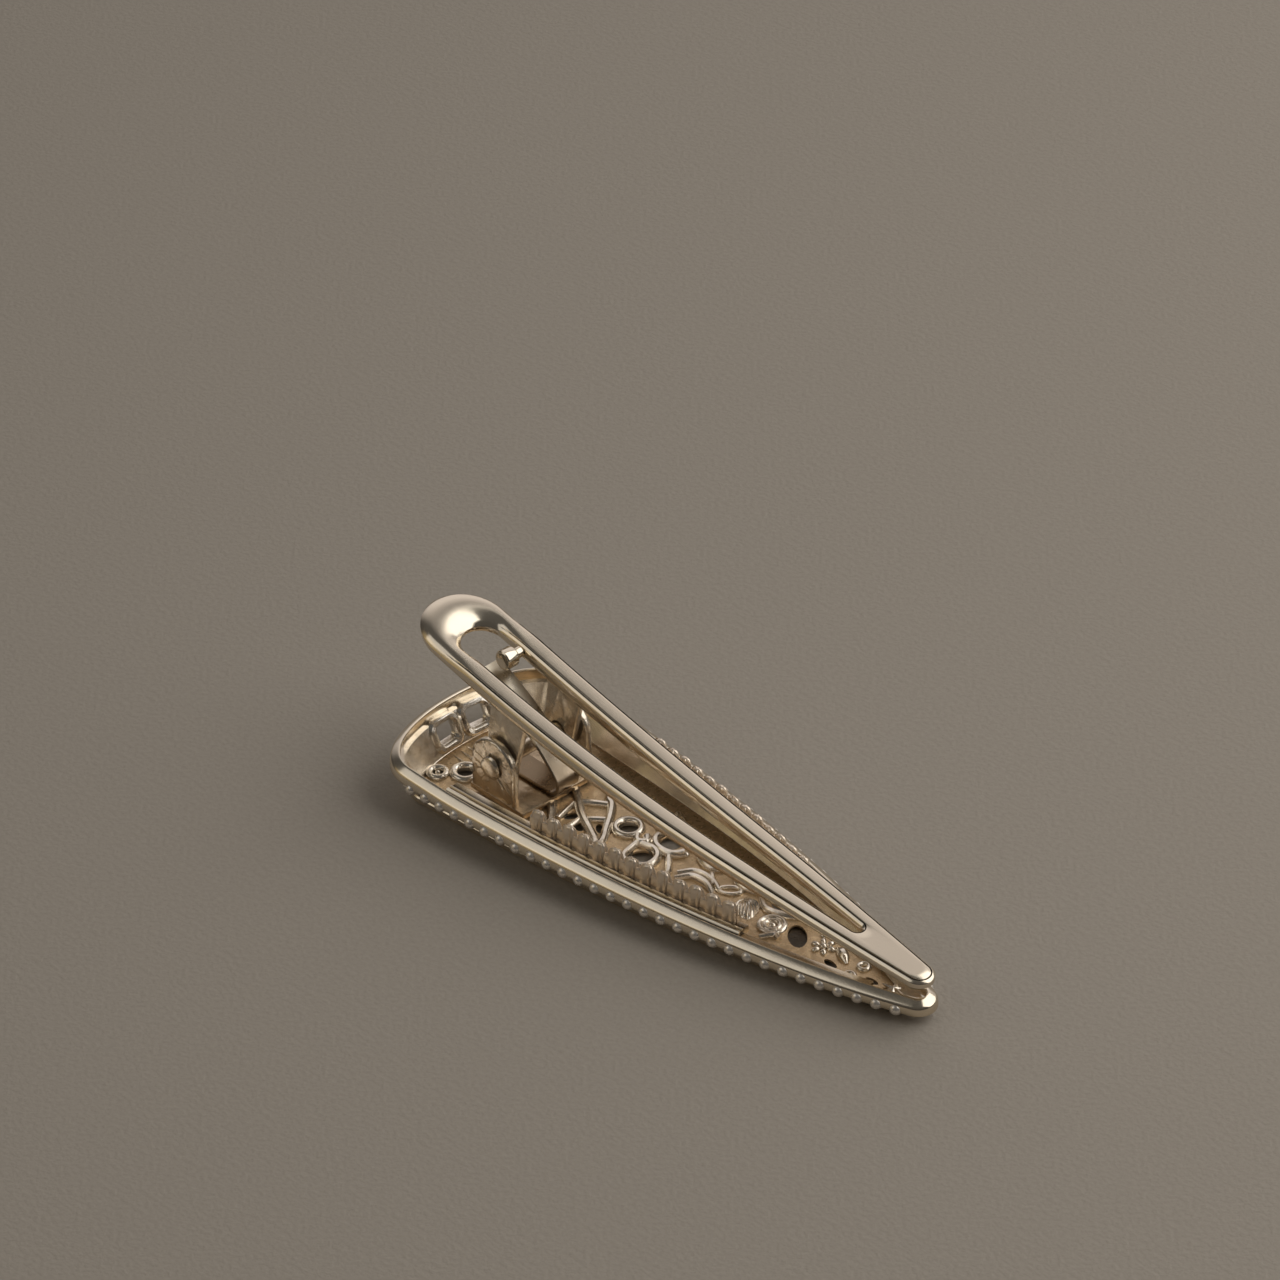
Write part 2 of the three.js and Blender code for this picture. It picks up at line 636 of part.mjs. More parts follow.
// Hinge lug: hangs from a rail of the arm and narrows to its eye on the pin
function lugGeometry(side) {
  const top = (x) => armUnderside(x) - SOLDER_GAP;
  const lug = new THREE.Shape();
  lug.moveTo(-LUG_REAR, top(-LUG_REAR));
  lug.lineTo(-LUG_EYE_RADIUS, 0);
  lug.absarc(0, 0, LUG_EYE_RADIUS, Math.PI, 2 * Math.PI, false);
  lug.lineTo(LUG_FRONT, top(LUG_FRONT));
  lug.lineTo(0, top(0));
  lug.lineTo(-LUG_REAR, top(-LUG_REAR));
  const eye = new THREE.Path();
  eye.absarc(0, 0, PIN_RADIUS + BORE_PLAY, 0, 2 * Math.PI, false);
  lug.holes.push(eye);
  const outer = EAR_INNER_Y - HINGE_PLAY;
  const y = side > 0 ? outer - LUG_THICKNESS : -outer;
  return uprightPlate(lug, y, LUG_THICKNESS, ROUND_STEPS);
}

const BAR_X = -BAR_BEHIND_PIN;
const BAR_Z = armUnderside(BAR_X) + armThickness(BAR_X) / 2;

// Round bar that stands out from the left rail into the slot of the arm
function barGeometry() {
  const root = taperedHalfWidth(BAR_X, SLOT_OUTLINE) - SOLDER_GAP;
  const length = root + BAR_PAST_MIDDLE;
  const geometry = new THREE.CylinderGeometry(BAR_RADIUS, BAR_RADIUS, length, 2 * ROUND_STEPS);
  geometry.translate(BAR_X, root - length / 2, BAR_Z);
  return geometry;
}

// Where a point of the arm lies when the clip is shut
function armToJaw(x, z) {
  return new THREE.Vector2(
    PIN_X + x * Math.cos(ARM_TILT) + z * Math.sin(ARM_TILT),
    PIN_Z - x * Math.sin(ARM_TILT) + z * Math.cos(ARM_TILT),
  );
}

// Leaf spring: a strip on the bracket's base, bent over ahead of the pin and back up under the bar
function leafGeometry() {
  const lowerZ = BRACKET_Z + BRACKET_BASE + SOLDER_GAP + LEAF_THICKNESS / 2;
  const bend = new THREE.Vector2(PIN_X + LEAF_BEND_AHEAD, lowerZ + LEAF_BEND_RADIUS);
  const bar = armToJaw(BAR_X, BAR_Z);
  const upperZ = bar.y - BAR_RADIUS - HINGE_PLAY - LEAF_THICKNESS / 2;
  const line = [new THREE.Vector2(PIN_X - LEAF_LOWER_END, lowerZ)];
  const turn = Math.PI - LEAF_SLOPE;
  for (let step = 0; step <= LEAF_STEPS; step += 1) {
    const angle = -Math.PI / 2 + turn * step / LEAF_STEPS;
    line.push(new THREE.Vector2(
      bend.x + LEAF_BEND_RADIUS * Math.cos(angle),
      bend.y + LEAF_BEND_RADIUS * Math.sin(angle),
    ));
  }
  const leave = line[line.length - 1];
  const sweep = new THREE.Vector2(-Math.cos(LEAF_SLOPE), Math.sin(LEAF_SLOPE)).multiplyScalar(LEAF_SWEEP);
  const rising = new THREE.QuadraticBezierCurve(
    leave,
    leave.clone().add(sweep),
    new THREE.Vector2(PIN_X - LEAF_UPPER_END, upperZ),
  );
  line.push(...rising.getPoints(LEAF_STEPS).slice(1));
  const upper = [];
  const lower = [];
  line.forEach((p, i) => {
    const before = line[Math.max(0, i - 1)];
    const after = line[Math.min(line.length - 1, i + 1)];
    const along = after.clone().sub(before).normalize();
    const across = new THREE.Vector2(-along.y, along.x).multiplyScalar(LEAF_THICKNESS / 2);
    upper.push(p.clone().add(across));
    lower.push(p.clone().sub(across));
  });
  const strip = new THREE.Shape([...lower, ...upper.reverse()]);
  return uprightPlate(strip, -LEAF_WIDTH / 2, LEAF_WIDTH, 1);
}

function piece(name, geometry, material) {
  const mesh = new THREE.Mesh(geometry, material);
  mesh.name = name;
  return mesh;
}

const jaw = new THREE.Group();
jaw.add(piece('jaw_rim', rimGeometry(), METAL.polished));
jaw.add(piece('gallery_band', galleryGeometry(), METAL.pierced));
jaw.add(piece('face_panel', faceGeometry(), METAL.pierced));
[['left', 1], ['right', -1]].forEach(([name, side]) => {
  jaw.add(piece(`bead_row_${name}`, beadRowGeometry(side), METAL.polished));
  jaw.add(piece(`comb_${name}`, combGeometry(side), METAL.cast));
});
jaw.add(piece('hinge_bracket', bracketGeometry(), METAL.cast));
jaw.add(piece('hinge_pin', pinGeometry(), METAL.cast));
jaw.add(piece('leaf_spring', leafGeometry(), METAL.spring));

const arm = new THREE.Group();
arm.position.set(PIN_X, 0, PIN_Z);
arm.rotation.y = ARM_TILT;
arm.add(piece('clasp_arm', armGeometry(), METAL.polished));
arm.add(piece('arm_lug_left', lugGeometry(1), METAL.cast));
arm.add(piece('arm_lug_right', lugGeometry(-1), METAL.cast));
arm.add(piece('spring_bar', barGeometry(), METAL.polished));

// The finished clip lies on its face, with its origin at the middle of the bottom of its box.
const clip = new THREE.Group();
clip.add(jaw, arm);
clip.rotation.y = Math.atan(FACE_SLOPE);
const box = new THREE.Box3().setFromObject(clip, true);
clip.position.set(-(box.min.x + box.max.x) / 2, 0, -box.min.z);

export default clip;
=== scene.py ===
"""Duckbill hair clip: a pierced, beaded jaw and a sprung loop arm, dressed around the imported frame."""
import logging
import math
from dataclasses import dataclass
from enum import Enum
from functools import cached_property
from typing import Callable, Sequence

import bmesh
import bpy
from mathutils import Matrix, Vector
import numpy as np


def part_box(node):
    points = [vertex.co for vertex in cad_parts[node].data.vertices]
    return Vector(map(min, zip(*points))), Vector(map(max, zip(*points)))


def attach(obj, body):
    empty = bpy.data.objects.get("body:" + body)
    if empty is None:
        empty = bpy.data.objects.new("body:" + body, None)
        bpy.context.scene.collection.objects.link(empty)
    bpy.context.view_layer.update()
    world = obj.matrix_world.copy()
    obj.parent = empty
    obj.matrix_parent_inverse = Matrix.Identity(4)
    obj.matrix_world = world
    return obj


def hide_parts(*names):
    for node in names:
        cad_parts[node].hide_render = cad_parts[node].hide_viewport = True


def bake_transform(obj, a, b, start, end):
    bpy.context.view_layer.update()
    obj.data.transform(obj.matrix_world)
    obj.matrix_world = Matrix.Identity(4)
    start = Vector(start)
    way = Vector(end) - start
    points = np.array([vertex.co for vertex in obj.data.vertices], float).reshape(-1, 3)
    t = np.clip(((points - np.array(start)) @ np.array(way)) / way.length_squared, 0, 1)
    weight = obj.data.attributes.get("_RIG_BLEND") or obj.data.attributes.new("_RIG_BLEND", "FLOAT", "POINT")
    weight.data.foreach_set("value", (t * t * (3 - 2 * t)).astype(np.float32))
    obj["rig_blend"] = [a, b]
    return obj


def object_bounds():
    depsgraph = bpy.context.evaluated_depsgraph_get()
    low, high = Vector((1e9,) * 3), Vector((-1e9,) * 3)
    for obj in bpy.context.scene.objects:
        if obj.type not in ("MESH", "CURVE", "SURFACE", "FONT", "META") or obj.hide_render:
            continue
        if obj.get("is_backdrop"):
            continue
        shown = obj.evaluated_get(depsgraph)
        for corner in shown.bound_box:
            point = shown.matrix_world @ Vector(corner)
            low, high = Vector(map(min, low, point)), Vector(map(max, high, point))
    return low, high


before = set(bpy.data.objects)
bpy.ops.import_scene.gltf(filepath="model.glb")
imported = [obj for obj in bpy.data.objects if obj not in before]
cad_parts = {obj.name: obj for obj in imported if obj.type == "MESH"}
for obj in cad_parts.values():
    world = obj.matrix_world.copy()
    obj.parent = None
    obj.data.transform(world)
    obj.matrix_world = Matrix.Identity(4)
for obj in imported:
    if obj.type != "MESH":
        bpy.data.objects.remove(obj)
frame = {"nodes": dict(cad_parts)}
CAD_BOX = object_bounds()
LOG = logging.getLogger("hair_clip")

MM = 0.001
SHADE = "shade"
SMOOTH_BELOW = math.radians(38)
SHARP_ABOVE = math.radians(35)
SAME_POINT = 1e-4
LATHE_STEPS = 28
SPREAD = 43758.5453
WEIGHTS = (12.9898, 78.233, 37.719)

Flat = tuple[float, float]
Colour = tuple[float, float, float]
Loop = list[Vector]
Obj = bpy.types.Object
Inputs = dict[str | int, object]


class Side(Enum):
    """The two long sides of the jaw."""

    LEFT = 1
    RIGHT = -1

    @property
    def suffix(self) -> str:
        """The ending of a node's name on this side."""
        return self.name.lower()


class Ends(Enum):
    """How a loft is closed: round into a ring, or by a cap at each end."""

    RING = "ring"
    CAPS = "caps"


class Body(Enum):
    """The two bodies of the clip."""

    JAW = "jaw"
    ARM = "arm"


def bezier_run(points: Sequence[Flat], steps: int) -> list[Flat]:
    """Even steps along a Bezier curve of any degree.

    Args:
        points: Control points.
        steps: Number of steps.

    Returns:
        The points, both ends included.
    """
    run = []
    for i in range(steps + 1):
        row = [Vector(p) for p in points]
        while len(row) > 1:
            row = [a.lerp(b, i / steps) for a, b in zip(row, row[1:])]
        run.append((row[0].x, row[0].y))
    return run


def arc(centre: Flat, radius: float, start: float, end: float, steps: int) -> list[Flat]:
    """Points of a circular arc.

    Args:
        centre: Centre of the arc.
        radius: Its radius.
        start: First angle in degrees.
        end: Last angle in degrees.
        steps: Number of steps between them.

    Returns:
        The points, both ends included.
    """
    run = []
    for i in range(steps + 1):
        angle = math.radians(start + (end - start) * i / steps)
        run.append((centre[0] + radius * math.cos(angle), centre[1] + radius * math.sin(angle)))
    return run


def turns(count: int) -> list[float]:
    """Even angles round a full turn."""
    return [2 * math.pi * k / count for k in range(count)]


def eased(value: float) -> float:
    """A value held between 0 and 1 that starts and ends gently."""
    share = min(1.0, max(0.0, value))
    return share * share * (3 - 2 * share)


def swung(centre: Flat, along: float, across: float, degrees: float) -> Flat:
    """A point at distances along and across from a centre, swung round it by some degrees."""
    lean = math.radians(degrees)
    x = centre[0] + along * math.cos(lean) - across * math.sin(lean)
    return x, centre[1] + along * math.sin(lean) + across * math.cos(lean)


def stray(*seeds: float) -> float:
    """A settled but uneven number from -1 to 1 for some seeds."""
    mixed = SPREAD * math.sin(sum(seed * weight for seed, weight in zip(seeds, WEIGHTS)))
    return 2 * (mixed - math.floor(mixed)) - 1


def smooth_path(points: Sequence[Flat], per_span: int) -> list[Flat]:
    """A smooth line through points in the plane.

    Args:
        points: Points that the line passes through.
        per_span: Steps between two of them.

    Returns:
        The points of the finer line.
    """
    given = [Vector(p) for p in points]
    given = [given[0] * 2 - given[1], *given, given[-1] * 2 - given[-2]]
    line = []
    for a, b, c, d in zip(given, given[1:], given[2:], given[3:]):
        for step in range(per_span):
            t = step / per_span
            p = b * 2 + (c - a) * t + (a * 2 - b * 5 + c * 4 - d) * t ** 2 + (b * 3 - a - c * 3 + d) * t ** 3
            line.append((p.x / 2, p.y / 2))
    line.append((given[-2].x, given[-2].y))
    return line


class MeasuredPath:
    """A plane curve that is read by distance along it."""

    def __init__(self, points: Sequence[Flat]) -> None:
        """Measures the curve.

        Args:
            points: Close points along the curve.
        """
        self.points = [Vector(p) for p in points]
        self.at = [0.0]
        for a, b in zip(self.points, self.points[1:]):
            self.at.append(self.at[-1] + (b - a).length)
        self.length = self.at[-1]

    def read(self, distance: float) -> tuple[Vector, Vector]:
        """Point and unit direction at a distance along the curve.

        Args:
            distance: Distance from the curve's start.

        Returns:
            The point and the direction.
        """
        i = 0
        while i + 2 < len(self.at) and self.at[i + 1] < distance:
            i += 1
        a, b = self.points[i], self.points[i + 1]
        share = (distance - self.at[i]) / (self.at[i + 1] - self.at[i])
        return a.lerp(b, share), (b - a).normalized()


@dataclass(frozen=True)
class JawLine:
    """The outline of the jaw and the smaller outlines inside it, in millimetres in the rim's frame."""

    rear: float = -0.4
    tip: float = 66.9
    half_width: float = 11.9
    shoulder: float = 6.2
    tip_radius: float = 2.0
    rear_angle: float = 2.2
    tip_angle: float = 22.0
    rear_fullness: float = 0.55
    corner_fullness: float = 0.62
    rear_handle: float = 0.34
    tip_handle: float = 0.27
    face_inset: float = 2.4
    face_tip_inset: float = 3.4
    face_tip_radius: float = 1.1
    face_slope: float = 0.034
    face_thickness: float = 0.8
    solder_gap: float = 0.1
    gallery_height: float = 3.05
    steps: tuple[int, int, int] = (26, 70, 10)

    @property
    def seat(self) -> float:
        """Height of the rim's underside."""
        return self.face_thickness + self.solder_gap + self.gallery_height

    def curves(self, rear: float, half_width: float, tip: float, tip_radius: float) -> list[list[Flat]]:
        """The rear, side and tip curves of the left half of an outline.

        Args:
            rear: Where the outline starts on the long axis.
            half_width: Half its width at the shoulder.
            tip: Where it ends.
            tip_radius: Radius of its round tip.

        Returns:
            Three runs of points.
        """
        along_rear = Vector((1, 0)) @ Matrix.Rotation(math.radians(self.rear_angle), 2)
        along_tip = Vector((1, 0)) @ Matrix.Rotation(math.radians(self.tip_angle), 2)
        shoulder = Vector((self.shoulder, half_width))
        lean = math.radians(self.tip_angle)
        tangent = Vector((tip - tip_radius + tip_radius * math.sin(lean), tip_radius * math.cos(lean)))
        span = tangent.x - shoulder.x
        corner = shoulder - along_rear * (self.shoulder - rear) * self.corner_fullness
        return [
            bezier_run([(rear, 0), (rear, half_width * self.rear_fullness), corner, shoulder], self.steps[0]),
            bezier_run([shoulder, shoulder + along_rear * span * self.rear_handle,
                        tangent - along_tip * span * self.tip_handle, tangent], self.steps[1]),
            arc((tip - tip_radius, 0), tip_radius, 90 - self.tip_angle, 0, self.steps[2]),
        ]

    def loop(self, rear: float, half_width: float, tip: float, tip_radius: float) -> list[Flat]:
        """A whole closed outline, from the middle of the rear. Takes the same values as curves."""
        first, side, last = self.curves(rear, half_width, tip, tip_radius)
        left = first[:-1] + side[:-1] + last
        return [(x, -y) for x, y in left] + left[1:-1][::-1]

    def jaw(self, inset: float) -> list[Flat]:
        """The jaw's outline, moved inwards by an inset."""
        rear, tip = self.rear + inset, self.tip - inset
        return self.loop(rear, self.half_width - inset, tip, self.tip_radius - inset)

    def face(self, inset: float) -> list[Flat]:
        """The face's outline, moved inwards by an inset."""
        tip = self.tip - self.face_tip_inset - inset
        width = self.half_width - self.face_inset - inset
        return self.loop(self.rear + self.face_inset + inset, width, tip, self.face_tip_radius - inset)

    def side_path(self) -> MeasuredPath:
        """The long left side of the jaw, from shoulder to tip."""
        return MeasuredPath(self.curves(self.rear, self.half_width, self.tip, self.tip_radius)[1])

    def face_floor(self, x: float) -> float:
        """Height of the face's underside at a place along the jaw."""
        return self.face_slope * (x - self.rear)


@dataclass(frozen=True)
class HingeLine:
    """Where the arm turns, in millimetres in the rim's frame."""

    x: float = 12.2
    z: float = 5.7
    tilt: float = 5.1

    def rim_frame(self, line: JawLine) -> Matrix:
        """Millimetres of the rim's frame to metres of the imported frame, hung on the hinge pin's place."""
        low, high = (Vector(corner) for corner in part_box("hinge_pin"))
        turn = Matrix.Rotation(math.atan(line.face_slope), 4, "Y") @ Matrix.Scale(MM, 4)
        place = (low + high) / 2 - turn @ Vector((self.x, 0, self.z))
        return Matrix.Translation(place) @ turn

    def arm_frame(self, line: JawLine) -> Matrix:
        """Millimetres along the arm, from the pin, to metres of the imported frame."""
        turn = Matrix.Rotation(math.radians(self.tilt), 4, "Y")
        return self.rim_frame(line) @ Matrix.Translation((self.x, 0, self.z)) @ turn


class Bench:
    """Edit-mode modelling: everything here is drawn in millimetres and scaled when it is finished."""

    @staticmethod
    def clear() -> None:
        """Leaves edit mode and deselects everything."""
        if bpy.context.object and bpy.context.object.mode != "OBJECT":
            bpy.ops.object.mode_set(mode="OBJECT")
        bpy.ops.object.select_all(action="DESELECT")

    @staticmethod
    def pick(*objects: Obj) -> None:
        """Selects some objects and makes the first one active."""
        Bench.clear()
        for obj in objects:
            obj.select_set(True)
        bpy.context.view_layer.objects.active = objects[0]

    @staticmethod
    def loft(loops: Sequence[Loop], ends: Ends, shade: Callable[[int, int], float] | None = None) -> Obj:
        """Draws the first loop as a circle's vertices and extrudes it through the others.

        Args:
            loops: Closed loops with equal numbers of points.
            ends: Whether the last loop returns to the first, or both get a cap.
            shade: How much painted shade darkens the finish at a loop's number and a point's number, from 0
                to 1.

        Returns:
            The new closed mesh.
        """
        Bench.clear()
        count = len(loops[0])
        bpy.ops.mesh.primitive_circle_add(vertices=count, radius=1, fill_type="NOTHING")
        obj = bpy.context.object
        bpy.ops.object.mode_set(mode="EDIT")
        mesh = bmesh.from_edit_mesh(obj.data)
        # A layer of painted shade, which the finishes read.
        dark = mesh.verts.layers.float.new(SHADE)
        mesh.verts.ensure_lookup_table()
        row = list(range(count))
        for k, point in enumerate(loops[0]):
            mesh.verts[k].co = point
            mesh.verts[k][dark] = shade(0, k) if shade else 0.0
        order = list(range(1, len(loops))) + ([0] if ends is Ends.RING else [])
        for number in order:
            bpy.ops.mesh.extrude_region_move()
            mesh = bmesh.from_edit_mesh(obj.data)
            dark = mesh.verts.layers.float[SHADE]
            mesh.verts.index_update()
            mesh.verts.ensure_lookup_table()
            fresh = []
            for k, point in enumerate(loops[number]):
                old = mesh.verts[row[k]]
                new = next(v for v in (e.other_vert(old) for e in old.link_edges) if v.select)
                new.co = point
                new[dark] = shade(number, k) if shade else 0.0
                fresh.append(new.index)
            row = fresh
        if ends is Ends.CAPS:
            bpy.ops.mesh.edge_face_add()
            bpy.ops.mesh.select_all(action="DESELECT")
            mesh = bmesh.from_edit_mesh(obj.data)
            mesh.verts.ensure_lookup_table()
            for index in range(count):
                mesh.verts[index].select = True
            mesh.select_flush(True)
            bpy.ops.mesh.edge_face_add()
        bpy.ops.mesh.select_all(action="SELECT")
        bpy.ops.mesh.remove_doubles(threshold=SAME_POINT)
        bpy.ops.mesh.normals_make_consistent(inside=False)
        bpy.ops.object.mode_set(mode="OBJECT")
        return obj

    @staticmethod
    def wire(
        line: Sequence[Sequence[float]], radius: Callable[[float], float], flat: float = 1.0, sides: int = 10,
    ) -> Obj:
        """A drawn wire that lies along a line in x, y and z and stays level across its width.

        Args:
            line: Points along the wire.
            radius: Half its width at a share along it.
            flat: Its height as a share of its width.
            sides: Points around it.

        Returns:
            The wire, closed at both ends.
        """
        points = [Vector(p) for p in line]
        loops = []
        for i, point in enumerate(points):
            before, after = points[max(0, i - 1)], points[min(len(points) - 1, i + 1)]
            along = (after - before).normalized()
            across = Vector((-along.y, along.x, 0)).normalized()
            half = radius(i / (len(points) - 1))
            across, up = across * half, along.cross(across) * half * flat
            loops.append([point + across * math.cos(t) + up * math.sin(t) for t in turns(sides)])
        return Bench.loft(loops, Ends.CAPS)

    @staticmethod
    def lathe(
        profile: Sequence[Flat], middle: Flat, worn: Callable[[float, float, float], float] | None = None,
    ) -> Obj:
        """A piece turned about a line across the clip.

        Args:
            profile: Radius and place across the clip, from one end to the other.
            middle: The line's x and z.
            worn: The true radius for a radius, an angle and a place, where the piece isn't round.

        Returns:
            The turned piece.
        """
        loops = []
        for radius, y in profile:
            loop = []
            for turn in turns(LATHE_STEPS):
                r = worn(radius, turn, y) if worn else radius
                loop.append(Vector((middle[0] + r * math.cos(turn), y, middle[1] + r * math.sin(turn))))
            loops.append(loop)
        return Bench.loft(loops, Ends.CAPS)

    @staticmethod
    def pressed(size: Sequence[float], place: Matrix) -> Obj:
        """Presses the primitive just made to a size and puts it in its place."""
        obj = bpy.context.object
        bpy.ops.object.mode_set(mode="EDIT")
        bpy.ops.transform.resize(value=tuple(size))
        bpy.ops.object.mode_set(mode="OBJECT")
        obj.data.transform(place)
        return obj

    @staticmethod
    def ball(centre: Sequence[float], size: Sequence[float], turn: float = 0.0, detail: int = 14) -> Obj:
        """A ball pressed to an oval.

        Args:
            centre: Its middle.
            size: Its half sizes along, across and up.
            turn: Degrees that its long axis is turned about the vertical.
            detail: Segments around it.

        Returns:
            The oval ball.
        """
        Bench.clear()
        bpy.ops.mesh.primitive_uv_sphere_add(segments=detail, ring_count=detail // 2 + 1, radius=1)
        place = Matrix.Translation(centre) @ Matrix.Rotation(math.radians(turn), 4, "Z")
        return Bench.pressed(size, place)

    @staticmethod
    def ring(centre: Sequence[float], radius: float, wire: float, flat: float) -> Obj:
        """A closed ring of wire that lies level.

        Args:
            centre: Its middle.
            radius: Radius at the middle of the wire.
            wire: Half the wire's width.
            flat: The wire's height as a share of its width.

        Returns:
            The ring.
        """
        Bench.clear()
        bpy.ops.mesh.primitive_torus_add(
            major_radius=radius, minor_radius=wire, major_segments=36, minor_segments=12,
        )
        return Bench.pressed((1, 1, flat), Matrix.Translation(centre))

    @staticmethod
    def plate(outline: Sequence[Flat], low: float, high: float) -> Obj:
        """A flat plate over an outline, from one height to another."""
        return Bench.loft([[Vector((x, y, z)) for x, y in outline] for z in (low, high)], Ends.CAPS)

    @staticmethod
    def upright(outline: Sequence[Flat], low: float, high: float) -> Obj:
        """A plate drawn in x and z and given its thickness across the clip."""
        return Bench.loft([[Vector((x, y, z)) for x, z in outline] for y in (low, high)], Ends.CAPS)

    @staticmethod
    def copies(pattern: Obj, places: Sequence[Matrix]) -> list[Obj]:
        """Copies a pattern to several places, each with a mesh of its own, and throws the pattern away."""
        made = []
        for place in places:
            copy = pattern.copy()
            copy.data = pattern.data.copy()
            bpy.context.collection.objects.link(copy)
            copy.data.transform(place)
            made.append(copy)
        bpy.data.objects.remove(pattern, do_unlink=True)
        return made

    @staticmethod
    def join(parts: Sequence[Obj]) -> Obj:
        """Makes one object of several."""
        Bench.pick(*parts)
        if len(parts) > 1:
            bpy.ops.object.join()
        return parts[0]

    @staticmethod
    def worked(obj: Obj, kind: str, **settings: object) -> Obj:
        """Gives a piece a modifier with some settings and applies it."""
        Bench.pick(obj)
        tool = obj.modifiers.new(kind.lower(), kind)
        for name, value in settings.items():
            setattr(tool, name, value)
        bpy.ops.object.modifier_apply(modifier=tool.name)
        return obj

    @staticmethod
    def cut(obj: Obj, cutter: Obj) -> Obj:
        """Takes one closed mesh out of another and throws the cutter away."""
        Bench.worked(obj, "BOOLEAN", operation="DIFFERENCE", solver="EXACT", use_self=True, object=cutter)
        bpy.data.objects.remove(cutter, do_unlink=True)
        return obj

    @staticmethod
    def soften(obj: Obj, width: float) -> Obj:
        """Rounds the sharp edges of a piece by a width."""
        return Bench.worked(
            obj, "BEVEL", width=width, segments=2, limit_method="ANGLE", angle_limit=SHARP_ABOVE,
        )


class Wiring:
    """Adds nodes to one shader tree and links them."""

    def __init__(self, tree: bpy.types.NodeTree) -> None:
        """Takes the tree that the nodes go into."""
        self.tree = tree

    def feed(self, node: bpy.types.Node, inputs: Inputs) -> None:
        """Fills a node's inputs: another node's socket is linked, anything else is a constant."""
        for name, value in inputs.items():
            if isinstance(value, bpy.types.NodeSocket):
                self.tree.links.new(value, node.inputs[name])
            else:
                node.inputs[name].default_value = value

    def add(self, kind: str, inputs: Inputs | None = None, **settings: object) -> bpy.types.Node:
        """Adds a node.

        Args:
            kind: Its type, without the words that all shader nodes begin with.
            inputs: What goes into its inputs.
            settings: Its own settings, made before the inputs.

        Returns:
            The node.
        """
        node = self.tree.nodes.new(f"ShaderNode{kind}")
        for name, value in settings.items():
            setattr(node, name, value)
        self.feed(node, inputs or {})
        return node

    def blend(self, first: object, second: Colour, share: bpy.types.NodeSocket) -> bpy.types.NodeSocket:
        """The colour that runs from a first one, constant or linked, to a second one by a share."""
        inputs = {"A": first, "B": (*second, 1), "Factor": share}
        return self.add("Mix", inputs, data_type="RGBA").outputs["Result"]


class NodeGroups:
    """Shader node groups that several finishes share."""

    FINE_SHARE = 0.35
    MASK_RANGE = (0.34, 0.66)
    LINE_STRETCH = (0.02, 1, 1)

    def __init__(self) -> None:
        """Builds each group once."""
        self.grain = self._grain()
        self.scratches = self._scratches()
        self.depth = self._depth_shade()

    @staticmethod
    def _open(name: str, inputs: dict[str, float], outputs: Sequence[str]) -> tuple:
        """Starts a group with a place and some floats as inputs.

        Args:
            name: Name of the group.
            inputs: Name and default value of each float input.
            outputs: Names of its float outputs.

        Returns:
            The group's wiring, the sockets of its input node, and its output node.
        """
        group = bpy.data.node_groups.new(name, "ShaderNodeTree")
        group.interface.new_socket("Place", in_out="INPUT", socket_type="NodeSocketVector")
        for label, value in inputs.items():
            socket = group.interface.new_socket(label, in_out="INPUT", socket_type="NodeSocketFloat")
            socket.default_value = value
        for label in outputs:
            group.interface.new_socket(label, in_out="OUTPUT", socket_type="NodeSocketFloat")
        start = group.nodes.new("NodeGroupInput").outputs
        return Wiring(group), start, group.nodes.new("NodeGroupOutput")

    @classmethod
    def _grain(cls) -> bpy.types.NodeTree:
        """Cast or smudged surface: a coarse and a fine noise as a height and as a mask."""
        wiring, start, end = cls._open("surface_grain", {"Coarse": 900, "Fine": 5000}, ["Height", "Mask"])
        noises = [wiring.add("TexNoise", {"Vector": start["Place"], "Scale": start[size], "Detail": detail})
                  for size, detail in (("Coarse", 4), ("Fine", 3))]
        coarse, fine = (noise.outputs["Fac"] for noise in noises)
        height = wiring.add("Math", {0: fine, 1: cls.FINE_SHARE, 2: coarse}, operation="MULTIPLY_ADD").outputs
        low, high = cls.MASK_RANGE
        mask = wiring.add("MapRange", {"Value": coarse, "From Min": low, "From Max": high}).outputs
        wiring.feed(end, {"Height": height["Value"], "Mask": mask["Result"]})
        return wiring.tree

    @classmethod
    def _scratches(cls) -> bpy.types.NodeTree:
        """Fine polishing lines that run along the clip."""
        wiring, start, end = cls._open("polishing_lines", {"Fineness": 9000}, ["Height"])
        drawn = wiring.add("Mapping", {"Vector": start["Place"], "Scale": cls.LINE_STRETCH}).outputs["Vector"]
        noise = wiring.add("TexNoise", {"Vector": drawn, "Scale": start["Fineness"], "Detail": 2})
        wiring.feed(end, {"Height": noise.outputs["Fac"]})
        return wiring.tree

    @classmethod
    def _depth_shade(cls) -> bpy.types.NodeTree:
        """How deep inside the clip a point lies, the mask of the painted shade and warm reflection: 1 on the
        face, 0 above the rim.
        """
        wiring, start, end = cls._open("painted_depth_shade", {"Bottom": 0.0, "Top": 0.006}, ["Mask"])
        height = wiring.add("SeparateXYZ", {"Vector": start["Place"]}).outputs["Z"]
        inputs = {"Value": height, "From Min": start["Bottom"], "From Max": start["Top"]}
        inputs |= {"To Min": 1, "To Max": 0}
        ramp = wiring.add("MapRange", inputs, interpolation_type="SMOOTHSTEP")
        wiring.feed(end, {"Mask": ramp.outputs["Result"]})
        return wiring.tree


